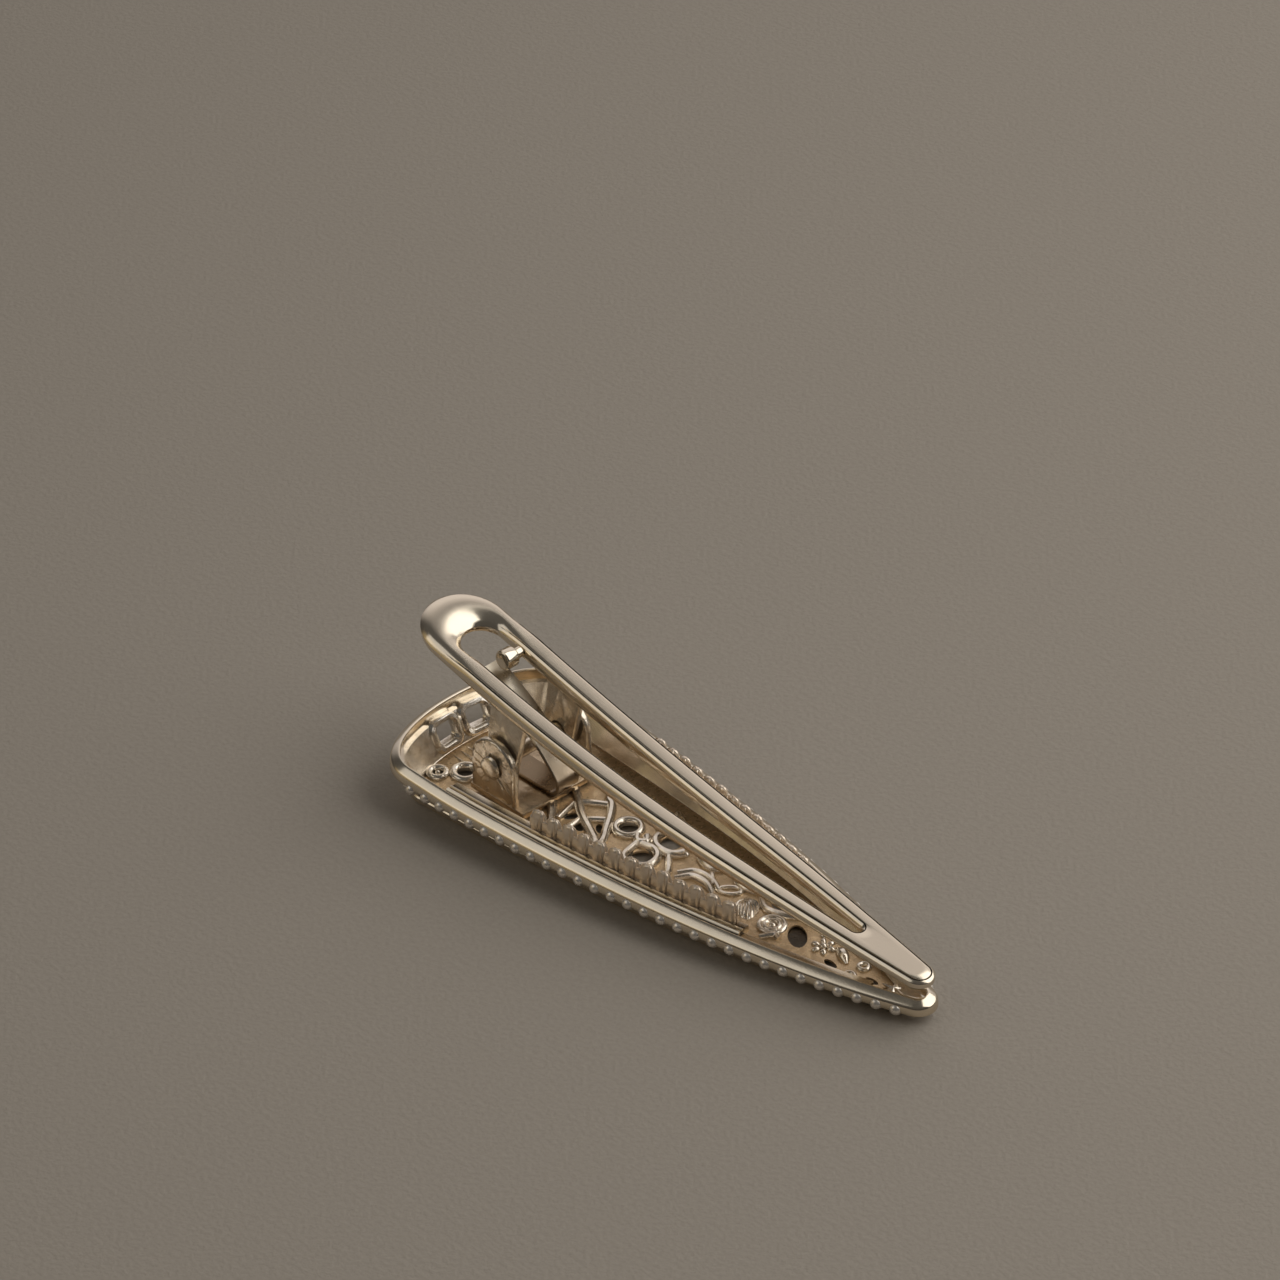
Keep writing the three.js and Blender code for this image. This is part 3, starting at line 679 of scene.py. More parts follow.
@dataclass(frozen=True)
class MetalFinish:
    """A plated metal finish: its own colour, a darker and warmer colour painted deeper inside as shade and
    reflection, and its surface.
    """

    name: str
    colour: Colour
    hollow: Colour
    tarnish: Colour
    tarnish_share: float
    roughness: Flat
    grain_scale: Flat
    grain_height: float
    line_height: float
    deep_shade_top: float
    metallic: float = 1.0
    # Colour of the painted shade that the shade attribute mixes in.
    dark: Colour = (0.035, 0.028, 0.02)

    def material(self, groups: NodeGroups) -> bpy.types.Material:
        """Builds the finish as a node material.

        Args:
            groups: The shared node groups.

        Returns:
            The material.
        """
        material = bpy.data.materials.new(self.name)
        material.use_nodes = True
        wiring = Wiring(material.node_tree)
        place = wiring.add("TexCoord").outputs["Object"]
        coarse, fine = self.grain_scale
        inputs = {"Place": place, "Coarse": coarse, "Fine": fine}
        grain = wiring.add("Group", inputs, node_tree=groups.grain).outputs
        lines = wiring.add("Group", {"Place": place}, node_tree=groups.scratches).outputs
        inputs = {"Place": place, "Top": self.deep_shade_top}
        depth = wiring.add("Group", inputs, node_tree=groups.depth).outputs
        stain = wiring.add("Math", {0: grain["Mask"], 1: self.tarnish_share}, operation="MULTIPLY").outputs
        shade = wiring.add("Attribute", attribute_name=SHADE).outputs
        # Painted shade and warm reflection: the colour darkens and warms deeper inside the clip.
        colour = wiring.blend((*self.colour, 1), self.hollow, depth["Mask"])
        colour = wiring.blend(colour, self.tarnish, stain["Value"])
        # Painted shade wherever the shade attribute is set.
        colour = wiring.blend(colour, self.dark, shade["Fac"])
        smooth, rough = self.roughness
        gloss = wiring.add("MapRange", {"Value": grain["Mask"], "To Min": smooth, "To Max": rough}).outputs
        cast = wiring.add("Bump", {"Distance": self.grain_height * MM, "Height": grain["Height"]}).outputs
        inputs = {"Distance": self.line_height * MM, "Height": lines["Height"], "Normal": cast["Normal"]}
        brushed = wiring.add("Bump", inputs).outputs
        wiring.feed(wiring.tree.nodes["Principled BSDF"], {
            "Metallic": self.metallic, "Base Color": colour, "Roughness": gloss["Result"],
            "Normal": brushed["Normal"],
        })
        return material


class Finishes:
    """The clip's finishes: one for each of the record's slots, and those of floor, beads and teeth."""

    # Each row's second colour is painted shade and warm reflection deep inside the clip, up to the height
    # given near the row's end.
    TABLE = (
        MetalFinish("polished", (0.83, 0.74, 0.60), (0.83, 0.72, 0.55), (0.74, 0.64, 0.51), 0.2,
                    (0.13, 0.21), (260, 4200), 0.0015, 0.0015, 0.004),
        MetalFinish("pierced", (0.89, 0.84, 0.76), (0.88, 0.80, 0.68), (0.64, 0.54, 0.41), 0.3,
                    (0.14, 0.27), (1100, 6500), 0.02, 0.0, 0.0035, 0.95),
        MetalFinish("cast", (0.86, 0.77, 0.64), (0.54, 0.40, 0.25), (0.40, 0.30, 0.19), 0.4,
                    (0.12, 0.26), (1400, 6000), 0.065, 0.0, 0.0055, 0.86),
        MetalFinish("gilded", (0.76, 0.58, 0.36), (0.68, 0.49, 0.28), (0.46, 0.33, 0.20), 0.45,
                    (0.2, 0.38), (1400, 6000), 0.045, 0.0, 0.0055, 0.5),
        MetalFinish("beaded", (0.95, 0.89, 0.81), (0.95, 0.89, 0.81), (0.84, 0.77, 0.68), 0.2,
                    (0.24, 0.34), (900, 5000), 0.002, 0.0, 0.003, 0.75),
        MetalFinish("fluted", (0.97, 0.84, 0.69), (0.90, 0.70, 0.51), (0.77, 0.59, 0.42), 0.3,
                    (0.1, 0.22), (1400, 6000), 0.045, 0.0, 0.006, 0.58),
        MetalFinish("spring", (0.46, 0.41, 0.33), (0.24, 0.16, 0.09), (0.38, 0.30, 0.21), 0.35,
                    (0.24, 0.38), (700, 6000), 0.006, 0.003, 0.009),
    )

    def __init__(self) -> None:
        """Builds the node groups and then each finish."""
        groups = NodeGroups()
        self.made = {finish.name: finish.material(groups) for finish in self.TABLE}

    def dress(
        self, obj: Obj, name: str, slot: str, body: Body | None, nodes: Sequence[str], place: Matrix,
        look: str = "",
    ) -> Obj:
        """Finishes a piece: its place, shading, material, body and the nodes that it stands for.

        Args:
            obj: The piece as drawn in millimetres.
            name: Its name.
            slot: The record's slot that its finish comes from.
            body: The body that it rides on, or none for a piece that bends between both.
            nodes: CAD nodes that it replaces.
            place: From the piece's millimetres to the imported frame.
            look: A finish of its own, where the slot's isn't used.

        Returns:
            The finished piece.
        """
        Bench.pick(obj)
        obj.name = name
        obj.data.name = name
        obj.data.transform(place)
        obj.data.update()
        bpy.ops.object.shade_smooth_by_angle(angle=SMOOTH_BELOW)
        obj.data.materials.clear()
        obj.data.materials.append(self.made[look or slot])
        if nodes:
            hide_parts(*nodes)
        if body is not None:
            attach(obj, body.value)
        LOG.info("%s: %d faces", name, len(obj.data.polygons))
        return obj


@dataclass
class Rim:
    """The polished rim, as (inset from the beads' line, height above its seat) round its section."""

    line: JawLine
    section: tuple[Flat, ...] = (
        (0.05, 0.0), (0.02, 0.08), (0.03, 0.36), (0.07, 0.65), (0.12, 0.82), (0.2, 0.945), (0.32, 1.045),
        (0.5, 1.18), (0.68, 1.305), (0.84, 1.41), (0.93, 1.455), (1.0, 1.475), (1.07, 1.465), (1.13, 1.4),
        (1.15, 1.25), (1.15, 0.0),
    )
    dip: float = 0.6
    dip_start: float = 1.0
    dip_length: float = 14.0

    def level(self, x: float) -> float:
        """Height of the rim's lower edge, which dips from the raised rear end to the sides."""
        return self.line.seat - self.dip * eased((x - self.dip_start) / self.dip_length)

    def build(self) -> Obj:
        """Lofts the rim round the jaw."""
        loops = []
        for inset, height in self.section:
            loops.append([Vector((x, y, self.level(x) + height)) for x, y in self.line.jaw(inset)])
        return Bench.loft(loops, Ends.RING)

    def dress(self, finishes: Finishes, place: Matrix) -> None:
        """Builds the rim and finishes it."""
        finishes.dress(self.build(), "rim_polished", "polished", Body.JAW, ["jaw_rim"], place)


@dataclass
class BeadRow:
    """Round beads on a thin wire along one side of the jaw."""

    line: JawLine
    side: Side
    radius: float = 0.6
    stretch: float = 1.08
    pitch: float = 2.0
    drop: float = 0.42
    inset: float = 0.28
    wire: float = 0.12
    wire_steps: int = 120

    def _tucked(self, point: Vector, along: Vector) -> Vector:
        """A place on the beads' line, drawn a little in under the rim."""
        y = self.side.value * (point.y - along.x * self.inset)
        return Vector((point.x + along.y * self.inset, y, self.line.seat - self.drop))

    def build(self) -> Obj:
        """Makes one bead, copies it along the side, and threads the wire through."""
        path = self.line.side_path()
        count = math.floor(path.length / self.pitch)
        places = []
        for i in range(count):
            point, along = path.read((i + 0.5) * self.pitch)
            turn = Matrix.Rotation(math.atan2(self.side.value * along.y, along.x), 4, "Z")
            places.append(Matrix.Translation(self._tucked(point, along)) @ turn)
        pattern = Bench.ball((0, 0, 0), (self.radius * self.stretch, self.radius, self.radius), detail=20)
        step = count * self.pitch / self.wire_steps
        run = [self._tucked(*path.read(i * step)) for i in range(self.wire_steps + 1)]
        thread = Bench.wire(run, lambda share: self.wire, sides=8)
        return Bench.join([thread] + Bench.copies(pattern, places))

    def dress(self, finishes: Finishes, place: Matrix) -> None:
        """Builds the row and finishes it."""
        side = self.side.suffix
        node = f"bead_row_{side}"
        finishes.dress(self.build(), f"beads_{side}", "polished", Body.JAW, [node], place, "beaded")


@dataclass
class Comb:
    """A polished flange beside the rim, drawn out to the tip as a ledge, with a cast row of teeth."""

    line: JawLine
    side: Side
    flange_start: float = 1.2
    flange_width: float = 0.93
    flange_height: float = 0.95
    wall: float = 0.88
    first: float = 21.0
    heel: float = 10.0
    toe: float = 1.15
    ledge_end: float = 62.0
    ledge_width: float = 0.9
    ledge_height: float = 0.5
    bar_steps: int = 60
    pitch: float = 1.95
    teeth: int = 13
    height: float = 2.1
    uneven: float = 0.05
    uneven_step: float = 2.3
    tooth_place: float = 0.55
    root: float = 0.3
    half_length: float = 0.98
    half_width: float = 0.5
    lean: float = 0.25
    flutes: int = 3
    flute: float = 0.4
    flute_fade: float = 0.3
    roughness: float = 0.03
    around: int = 36
    web_height: float = 0.62
    web_half: float = 0.3
    burr: float = 0.09
    burrs_each: int = 9
    burr_count: float = 4.6
    burr_ahead: float = 0.15
    burr_reach: float = 0.93
    burr_top: float = 0.93
    burr_steep: float = 0.62
    burr_round: float = 0.2
    burr_rise: float = 0.06
    burr_out: float = 0.1
    burr_spread: float = 0.4
    swells: tuple[Flat, ...] = (
        (0.0, 1.06), (0.4, 1.05), (0.64, 1.0), (0.8, 0.92), (0.9, 0.78), (0.97, 0.54), (1.0, 0.22),
    )

    @cached_property
    def path(self) -> MeasuredPath:
        """The side of the jaw that the comb lies along."""
        return self.line.side_path()

    @property
    def tooth_line(self) -> float:
        """Distance of the teeth's middle inwards from the line of the beads."""
        return self.flange_start + self.flange_width + self.wall * self.tooth_place

    def _placed(self, at: float, inset: float, z: float) -> Vector:
        """A point beside the rim.

        Args:
            at: Place along the jaw.
            inset: Distance inwards from the line of the beads.
            z: Height above the flange's underside.

        Returns:
            The point in the rim's frame.
        """
        point, along = self.path.read(at - self.line.shoulder)
        base = self.line.seat + self.line.solder_gap
        return Vector((point.x + along.y * inset, self.side.value * (point.y - along.x * inset), base + z))

    def bar(self, section: Sequence[Flat], start: float, end: float, dark: Sequence[int] = ()) -> Obj:
        """A bar of one section along the rim.

        Args:
            section: Insets and heights round the bar.
            start: Where it starts along the jaw.
            end: Where it ends.
            dark: Numbers of the section's points given painted shade, in the grooves and the gap beside the
                rim.

        Returns:
            The bar.
        """
        places = [start + (end - start) * i / self.bar_steps for i in range(self.bar_steps + 1)]
        loops = [[self._placed(at, inset, z) for inset, z in section] for at in places]
        return Bench.loft(loops, Ends.CAPS, lambda _, k: float(k in dark))

    def flange(self) -> Obj:
        """The bar that carries the teeth, with two rounded beads along it, and the ledge ahead of it."""
        a, b = self.flange_start, self.flange_start + self.flange_width
        back, top, low = b + self.wall, self.flange_height, self.ledge_height
        section = [(a, 0), (back, 0), (back, top - 0.3), (back - 0.1, top - 0.15), (b + 0.03, top - 0.15),
                   (b - 0.03, top - 0.04), (b - 0.13, top + 0.02), (b - 0.25, top), (b - 0.33, top - 0.12),
                   (b - 0.37, top - 0.24), (b - 0.45, top - 0.24), (b - 0.49, top - 0.1), (b - 0.57, top),
                   (b - 0.67, top + 0.02), (b - 0.78, top - 0.04), (a, top - 0.2)]
        edge = a + self.ledge_width
        plain = [(a, 0), (edge, 0), (edge, low - 0.12), (edge - 0.1, low), (a + 0.08, low), (a, low - 0.08)]
        end = self.first + self.pitch * self.teeth + self.toe
        # The grooves and the outer wall beside the rim get painted shade.
        grooved = self.bar(section, self.first - self.heel, end, dark=(0, 4, 9, 10, 15))
        return Bench.join([grooved, self.bar(plain, end, self.ledge_end, dark=(0, 5))])

    def tooth(self, index: int) -> Obj:
        """One fluted tooth with a round, slightly uneven top, counted from the rear."""
        middle = self.first + (index + 0.5) * self.pitch
        reach = self.height * (1 - self.uneven * math.sin(index * self.uneven_step)) + self.root
        loops = []
        for share, swell in self.swells:
            loop = []
            for k, turn in enumerate(turns(self.around)):
                ridge = k * 2 * self.flutes / self.around % 1
                size = swell * (1 - self.flute * ridge * (1 - share * self.flute_fade))
                at = middle + self.lean * share + self.half_length * size * math.cos(turn)
                across = self.tooth_line + self.half_width * size * math.sin(turn)
                across += self.roughness * stray(k, share, index)
                loop.append(self._placed(at, across, self.flange_height - self.root + share * reach))
            loops.append(loop)
        return Bench.loft(loops, Ends.CAPS)

    def web(self) -> Obj:
        """The wall that closes the gaps between the teeth below their round tops."""
        middle, half = self.tooth_line, self.web_half
        low, high = self.flange_height - self.root, self.flange_height + self.height * self.web_height
        section = [(middle - half, low), (middle + half, low), (middle + half, high - 0.1),
                   (middle + 0.1, high), (middle - 0.1, high), (middle - half, high - 0.1)]
        return self.bar(section, self.first + 0.2, self.first + self.pitch * self.teeth)

    def burrs(self) -> list[Obj]:
        """Small grains of cast metal along the round tops and the edges of the teeth."""
        places = []
        for index in range(self.teeth):
            middle = self.first + (index + 0.5) * self.pitch + self.burr_ahead
            for k in range(self.burrs_each):
                share = (k - self.burrs_each // 2) / self.burr_count
                luck = stray(index, k)
                drop = self.burr_steep * share ** 4 + self.burr_round * share ** 2
                z = self.flange_height + self.height * (self.burr_top - drop) + self.burr_rise * luck
                inset = self.tooth_line - self.burr_out + self.burr_out * luck
                spot = self._placed(middle + self.burr_reach * share, inset, z)
                places.append(Matrix.Translation(spot) @ Matrix.Scale(1 + self.burr_spread * luck, 4))
        return Bench.copies(Bench.ball((0, 0, 0), (self.burr,) * 3, detail=6), places)

    def dress(self, finishes: Finishes, place: Matrix) -> None:
        """Builds the flange and the teeth and finishes them."""
        side = self.side.suffix
        finishes.dress(self.flange(), f"comb_rail_{side}", "polished", Body.JAW, [f"comb_{side}"], place)
        row = Bench.join([self.web()] + [self.tooth(i) for i in range(self.teeth)] + self.burrs())
        finishes.dress(row, f"teeth_{side}", "cast", Body.JAW, [], place, "fluted")


@dataclass
class Gallery:
    """The sloping wall between face and rim, with framed windows in its rear."""

    line: JawLine
    top_inset: float = 0.72
    wall: float = 0.75
    window: Flat = (2.5, 1.8)
    corner: float = 0.4
    pitch: float = 4.1
    drop: float = 0.4
    windows: int = 2
    frame: float = 0.5
    frame_lap: float = 0.7
    frame_sides: int = 8
    bow: float = 0.015
    cut: Flat = (-1.5, 5.0)

    @property
    def window_middle(self) -> float:
        """Height of the windows' middle."""
        return self.line.seat - self.drop - self.window[1] / 2

    def _window_outline(self, y: float, grow: float) -> list[Flat]:
        """A window's rounded outline across the clip and up.

        Args:
            y: Middle of the window.
            grow: How much larger than the window it is on each side.

        Returns:
            Points in y and z.
        """
        half, tall = self.window[0] / 2 + grow, self.window[1] / 2 + grow
        corner = self.corner + grow
        run = []
        for sy, sz, start in ((1, 1, 0), (-1, 1, 90), (-1, -1, 180), (1, -1, 270)):
            centre = (y + sy * (half - corner), self.window_middle + sz * (tall - corner))
            run += arc(centre, corner, start, start + 90, 5)
        return run

    def build(self) -> Obj:
        """Lofts the wall, cuts the windows and adds their frames."""
        line = self.line
        onto = line.face_thickness + line.solder_gap
        outer, inner = self.top_inset, self.top_inset + self.wall
        shares = (1.0, 0.5, 0.0)
        loops = []
        for inset, share in [(outer, s) for s in shares] + [(inner, s) for s in shares[::-1]]:
            loop = []
            for (hx, hy), (lx, ly) in zip(line.jaw(inset), line.face(inset - outer)):
                foot = Vector((lx, ly, line.face_floor(lx) + onto))
                loop.append(foot.lerp(Vector((hx, hy, line.seat)), share))
            loops.append(loop)
        wall = Bench.loft(loops, Ends.RING)
        places = [(i - (self.windows - 1) / 2) * self.pitch for i in range(self.windows)]
        for y in places:
            outline = self._window_outline(y, 0.0)
            cutter = [[Vector((x, a, b)) for a, b in outline] for x in self.cut]
            wall = Bench.cut(wall, Bench.loft(cutter, Ends.CAPS))
        return Bench.join([wall] + [self.moulding(y) for y in places])

    def moulding(self, y: float) -> Obj:
        """A raised frame round one window, on the inner face of the wall."""
        line = self.line
        loops = []
        for a, b in self._window_outline(y, self.frame * self.frame_lap):
            share = (b - line.face_thickness) / (line.seat - line.face_thickness)
            lean = (line.face_inset - self.top_inset) * share
            centre = Vector((line.rear + line.face_inset + self.wall - lean + self.bow * a * a, a, b))
            radial = Vector((0, a - y, b - self.window_middle)).normalized()
            inwards = Vector((1, 0, 0))
            loops.append([centre + (radial * math.cos(t) + inwards * math.sin(t)) * self.frame
                          for t in turns(self.frame_sides)])
        return Bench.loft(loops, Ends.RING)

    def dress(self, finishes: Finishes, place: Matrix) -> None:
        """Builds the gallery and finishes it."""
        finishes.dress(self.build(), "gallery_wall", "pierced", Body.JAW, ["gallery_band"], place)


@dataclass(frozen=True)
class Stem:
    """One drawn line of the openwork: its points, half width at both ends and in the middle."""

    points: tuple[Flat, ...]
    root: float = 0.3
    middle: float = 0.36
    tip: float = 0.3


@dataclass
class Openwork:
    """The pierced face: a plate with holes and, on it, stems, rings, leaves and a rosette."""

    line: JawLine
    plate_inset: float = 0.2
    plate_low: float = 0.45
    plate_high: float = 0.66
    relief: float = 0.65
    fullness: float = 1.5
    depth: float = 1.2
    ball_height: float = 0.38
    ledge: float = 0.35
    border: float = 0.7
    hole_cut: Flat = (-2.0, 5.0)
    hole_steps: int = 20
    stem_steps: int = 6
    # Painted shadow under one hole: the well's place and radius, its heights, and how deep its top is shaded.
    shadow_pocket: tuple[float, float, float] = (48.9, 0.1, 2.3)
    pocket_floor: Flat = (0.1, 0.3)
    pocket_shade: float = 0.95
    holes: tuple[tuple[float, float, float, float, float], ...] = (
        (24.8, 1.0, 1.05, 1.05, 0), (29.1, -1.4, 1.35, 1.1, 45), (29.5, 2.3, 1.1, 1.1, 0),
        (48.9, 0.1, 1.8, 0.95, -40), (6.5, -3.7, 0.95, 0.95, 0), (6.5, 3.7, 0.95, 0.95, 0),
        (4.5, -5.6, 0.6, 0.6, 0), (4.5, 5.6, 0.6, 0.6, 0), (20.9, -2.1, 0.9, 0.45, -20),
        (19.2, -1.4, 0.8, 0.5, 70), (22.7, -0.9, 0.8, 0.4, -40), (26.9, -3.9, 1.1, 0.8, 20),
        (26.9, 4.4, 1.2, 0.9, -20), (21.6, 4.6, 1.2, 0.6, -30), (33.0, -3.2, 1.4, 0.5, -15),
        (33.6, 3.4, 1.5, 0.7, -10), (36.6, -2.4, 1.1, 0.45, -10), (39.6, -2.6, 1.0, 0.4, -30),
        (38.6, 2.8, 1.3, 0.6, -15), (44.2, 2.2, 1.3, 0.5, -20), (54.2, -0.8, 0.9, 0.4, -10),
        (58.9, 0.0, 0.8, 0.35, 0),
    )
    stems: tuple[Stem, ...] = (
        Stem(((13.3, 3.4), (14.6, 1.2), (16.1, -0.9), (17.5, -2.4), (18.6, -3.6), (20.4, -5.4))),
        Stem(((13.9, 3.8), (15.9, 2.3), (17.9, 0.8), (20.0, -0.7), (22.3, -1.9), (24.1, -2.9), (26.0, -4.8))),
        Stem(((18.6, -2.7), (17.9, 0.1)), 0.26, 0.28, 0.26),
        Stem(((20.4, -3.2), (20.3, -1.1)), 0.24, 0.26, 0.24),
        Stem(((18.3, 0.8), (20.6, 2.3)), 0.26, 0.28, 0.26),
        Stem(((20.8, -0.8), (22.5, 0.6)), 0.24, 0.26, 0.24),
        Stem(((19.0, 4.2), (20.1, 2.9), (21.0, 2.4), (22.3, 0.9), (23.5, -0.8), (24.6, -2.4), (25.2, -4.6))),
        Stem(((10.4, 6.6), (11.2, 4.2), (12.1, 1.8), (13.8, -0.8), (14.9, -2.1), (16.0, -4.4))),
        Stem(((26.2, 0.9), (27.0, 0.1), (27.7, 0.6), (27.2, 1.2)), 0.26, 0.3, 0.34),
        Stem(((27.2, -0.2), (27.8, -2.6), (29.2, -3.1), (30.6, -2.2), (30.4, -0.6), (29.2, 0.2),
              (27.6, 0.0))),
        Stem(((28.0, 3.4), (27.9, 1.9), (28.7, 0.9), (29.9, 0.6), (31.1, 0.9), (31.8, 1.8)), 0.26, 0.36, 0.4),
        Stem(((31.0, 0.4), (31.9, -0.5), (32.8, -1.5), (33.2, -3.0)), 0.28, 0.3, 0.24),
        Stem(((33.8, -1.6), (34.7, -0.4), (35.9, -0.1), (37.2, -0.3), (38.4, -0.9)), 0.2, 0.32, 0.2),
        Stem(((33.4, -0.8), (34.4, 0.4), (35.8, 0.7), (37.2, 0.5), (38.4, 0.0)), 0.2, 0.3, 0.2),
        Stem(((35.4, 1.9), (36.4, 1.0), (37.5, 0.0)), 0.12, 0.26, 0.3),
        Stem(((38.0, 0.0), (38.5, 0.9), (39.4, 1.5), (40.1, 1.3), (39.8, 0.5), (39.0, 0.0), (38.0, 0.0)),
             0.16, 0.18, 0.16),
        Stem(((46.4, -2.6), (47.2, -1.4), (48.0, -1.5)), 0.22, 0.28, 0.2),
        Stem(((53.0, 1.3), (54.2, 0.9), (55.4, 0.2)), 0.12, 0.42, 0.1),
        Stem(((24.0, 3.4), (25.8, 3.6), (27.4, 3.2), (28.2, 5.0), (26.6, 6.0)), 0.26, 0.32, 0.26),
        Stem(((31.6, 4.6), (33.4, 2.4), (35.4, 2.0), (37.4, 3.4)), 0.22, 0.32, 0.22),
        Stem(((37.0, 3.9), (39.0, 2.0), (41.0, 2.2), (42.6, 3.2)), 0.22, 0.32, 0.22),
        Stem(((41.6, 2.4), (43.8, 1.0), (46.0, 1.6), (47.6, 2.6)), 0.22, 0.3, 0.22),
        Stem(((34.6, -4.2), (36.0, -2.4), (38.0, -1.9), (40.0, -3.4)), 0.22, 0.3, 0.22),
        Stem(((25.6, -4.2), (27.4, -3.2), (28.6, -4.6), (30.6, -5.2)), 0.24, 0.3, 0.24),
    )
    rings: tuple[tuple[float, float, float, float], ...] = (
        (24.8, 1.0, 1.3, 0.3), (6.5, -3.7, 1.2, 0.3), (6.5, 3.7, 1.2, 0.3), (4.5, -5.6, 0.85, 0.26),
        (4.5, 5.6, 0.85, 0.26), (56.9, 1.0, 0.5, 0.2), (46.0, -0.4, 1.25, 0.22), (46.0, -0.4, 0.75, 0.2),
        (56.9, -1.0, 0.5, 0.2),
    )
    balls: tuple[tuple[float, float, float], ...] = (
        (46.0, -0.4, 0.42), (4.5, -5.6, 0.3), (4.5, 5.6, 0.3), (27.5, 1.1, 0.4), (31.9, 1.9, 0.42),
        (61.6, 1.1, 0.4), (50.7, 1.9, 0.4),
    )
    rosette: tuple[float, float, float] = (51.9, 0.6, 0.85)
    heart: tuple[float, float, float] = (0.4, 0.4, 0.34)
    heart_lift: float = 0.12
    petals: int = 6
    petal: tuple[float, float, float] = (0.5, 0.34, 0.36)
    petal_turn: float = 15.0
    fan: tuple[float, float, float] = (41.2, 1.0, -45.0)
    fan_ribs: int = 9
    fan_spread: float = 24.0
    fan_reach: float = 3.4
    fan_fall: float = 0.9
    fan_sway: float = 0.5
    fan_crown: float = 0.24
    fan_body: tuple[float, float, float] = (1.75, 1.0, 0.34)
    fan_body_ahead: float = 1.6
    star_place: tuple[float, float, float] = (61.6, 0.2, 0.9)
    star_reaches: tuple[float, ...] = (1.5, 1.1, 1.1)
    floor_ribs: int = 6
    floor_rib_pitch: float = 0.95
    floor_rib_start: float = 3.4

    def lift(self, x: float, y: float, z: float) -> Vector:
        """A point of the sloping face in the rim's frame, z above the face's underside."""
        return Vector((x, y, z + self.line.face_floor(x)))

    def plate(self) -> Obj:
        """The thin plate with its holes cut through, and under one hole a shallow closed well whose top is
        painted as the shadow seen through that hole.
        """
        outline = self.line.face(self.plate_inset)
        loops = [[self.lift(x, y, z) for x, y in outline] for z in (self.plate_low, self.plate_high)]
        sheet = Bench.loft(loops, Ends.CAPS)
        cutters = []
        for x, y, along, across, turn in self.holes:
            rim = [swung((x, y), along * math.cos(t), across * math.sin(t), turn)
                   for t in turns(self.hole_steps)]
            cutters.append(Bench.plate(rim, *self.hole_cut))
        sheet = Bench.cut(sheet, Bench.join(cutters))
        # Painted shadow: a shallow well under one hole, shaded on top as the shadow seen through it.
        x, y, radius = self.shadow_pocket
        around = arc((x, y), radius, 0, 345, 23)
        floor = [[self.lift(a, b, z) for a, b in around] for z in self.pocket_floor]
        painted_shadow = Bench.loft(floor, Ends.CAPS, lambda number, _: self.pocket_shade * number)
        return Bench.join([sheet, painted_shadow])

    def rail(self) -> Obj:
        """The border all round the face."""
        out, inner = -self.ledge, self.border
        section = ((out, 0.12), (out + 0.12, 0.0), (inner - 0.2, 0.0), (inner, 0.2),
                   (inner, 0.6), (inner - 0.25, 0.8), (out + 0.12, 0.8), (out, 0.68))
        loops = [[self.lift(x, y, z) for x, y in self.line.face(inset)] for inset, z in section]
        return Bench.loft(loops, Ends.RING)

    def stem(self, stem: Stem) -> Obj:
        """One wire of the openwork, thicker in its middle."""
        run = [self.lift(x, y, self.relief) for x, y in smooth_path(stem.points, self.stem_steps)]

        def half(share: float) -> float:
            """Half width at a share along the stem."""
            ends = stem.root + (stem.tip - stem.root) * share
            return self.fullness * (ends + (stem.middle - ends) * math.sin(math.pi * share))

        return Bench.wire(run, half, self.depth)

    def leaf_fan(self) -> list[Obj]:
        """The ribbed leaf: ribs that spread from its stalk."""
        x, y, turn = self.fan
        body = self.lift(*swung((x, y), self.fan_body_ahead, 0, turn), self.relief)
        parts = [Bench.ball(body, self.fan_body, turn)]
        half_ribs = self.fan_ribs // 2
        for i in range(self.fan_ribs):
            spread = (i - half_ribs) / half_ribs
            reach = self.fan_reach - self.fan_fall * abs(spread)
            run = []
            for share in (k / 8 for k in range(9)):
                swell = math.sin(math.pi * share)
                sway = self.fan_sway * spread * swell
                spot = swung((x, y), reach * share, sway, turn + self.fan_spread * spread)
                run.append(self.lift(*spot, self.relief + self.fan_crown * swell * (1 - 0.5 * spread ** 2)))
            parts.append(Bench.wire(run, self.rib_width, 1.3, 8))
        return parts

    @staticmethod
    def rib_width(share: float) -> float:
        """Half width of a leaf's rib at a share along it."""
        return 0.08 + 0.09 * math.sin(math.pi * min(1, share * 1.1))

    def flower(self) -> list[Obj]:
        """The rosette near the tip: petals round a ball."""
        x, y, radius = self.rosette
        parts = [Bench.ball(self.lift(x, y, self.relief + self.heart_lift), self.heart)]
        for i in range(self.petals):
            turn = 360 / self.petals * i + self.petal_turn
            centre = self.lift(*swung((x, y), radius, 0, turn), self.relief)
            parts.append(Bench.ball(centre, self.petal, turn))
        return parts

    def star(self) -> list[Obj]:
        """The pointed star at the tip."""
        x, y, height = self.star_place
        parts = []
        for i, reach in enumerate(self.star_reaches * 2):
            run = [self.lift(*swung((x, y), reach * k / 6, 0, 60 * i), height) for k in range(7)]
            parts.append(Bench.wire(run, lambda share: 0.3 * (1 - share) + 0.05, 1.1, 8))
        return parts

    def ribs(self) -> list[Obj]:
        """Ribs on the floor between the windows and the bracket."""
        parts = []
        for i in range(self.floor_ribs):
            y = (i - (self.floor_ribs - 1) / 2) * self.floor_rib_pitch
            run = [self.lift(self.floor_rib_start + 0.8 * k, y * (1 + 0.05 * k), self.plate_high)
                   for k in range(7)]
            parts.append(Bench.wire(run, lambda share: 0.06 + 0.12 * math.sin(math.pi * share), 1.0, 8))
        return parts

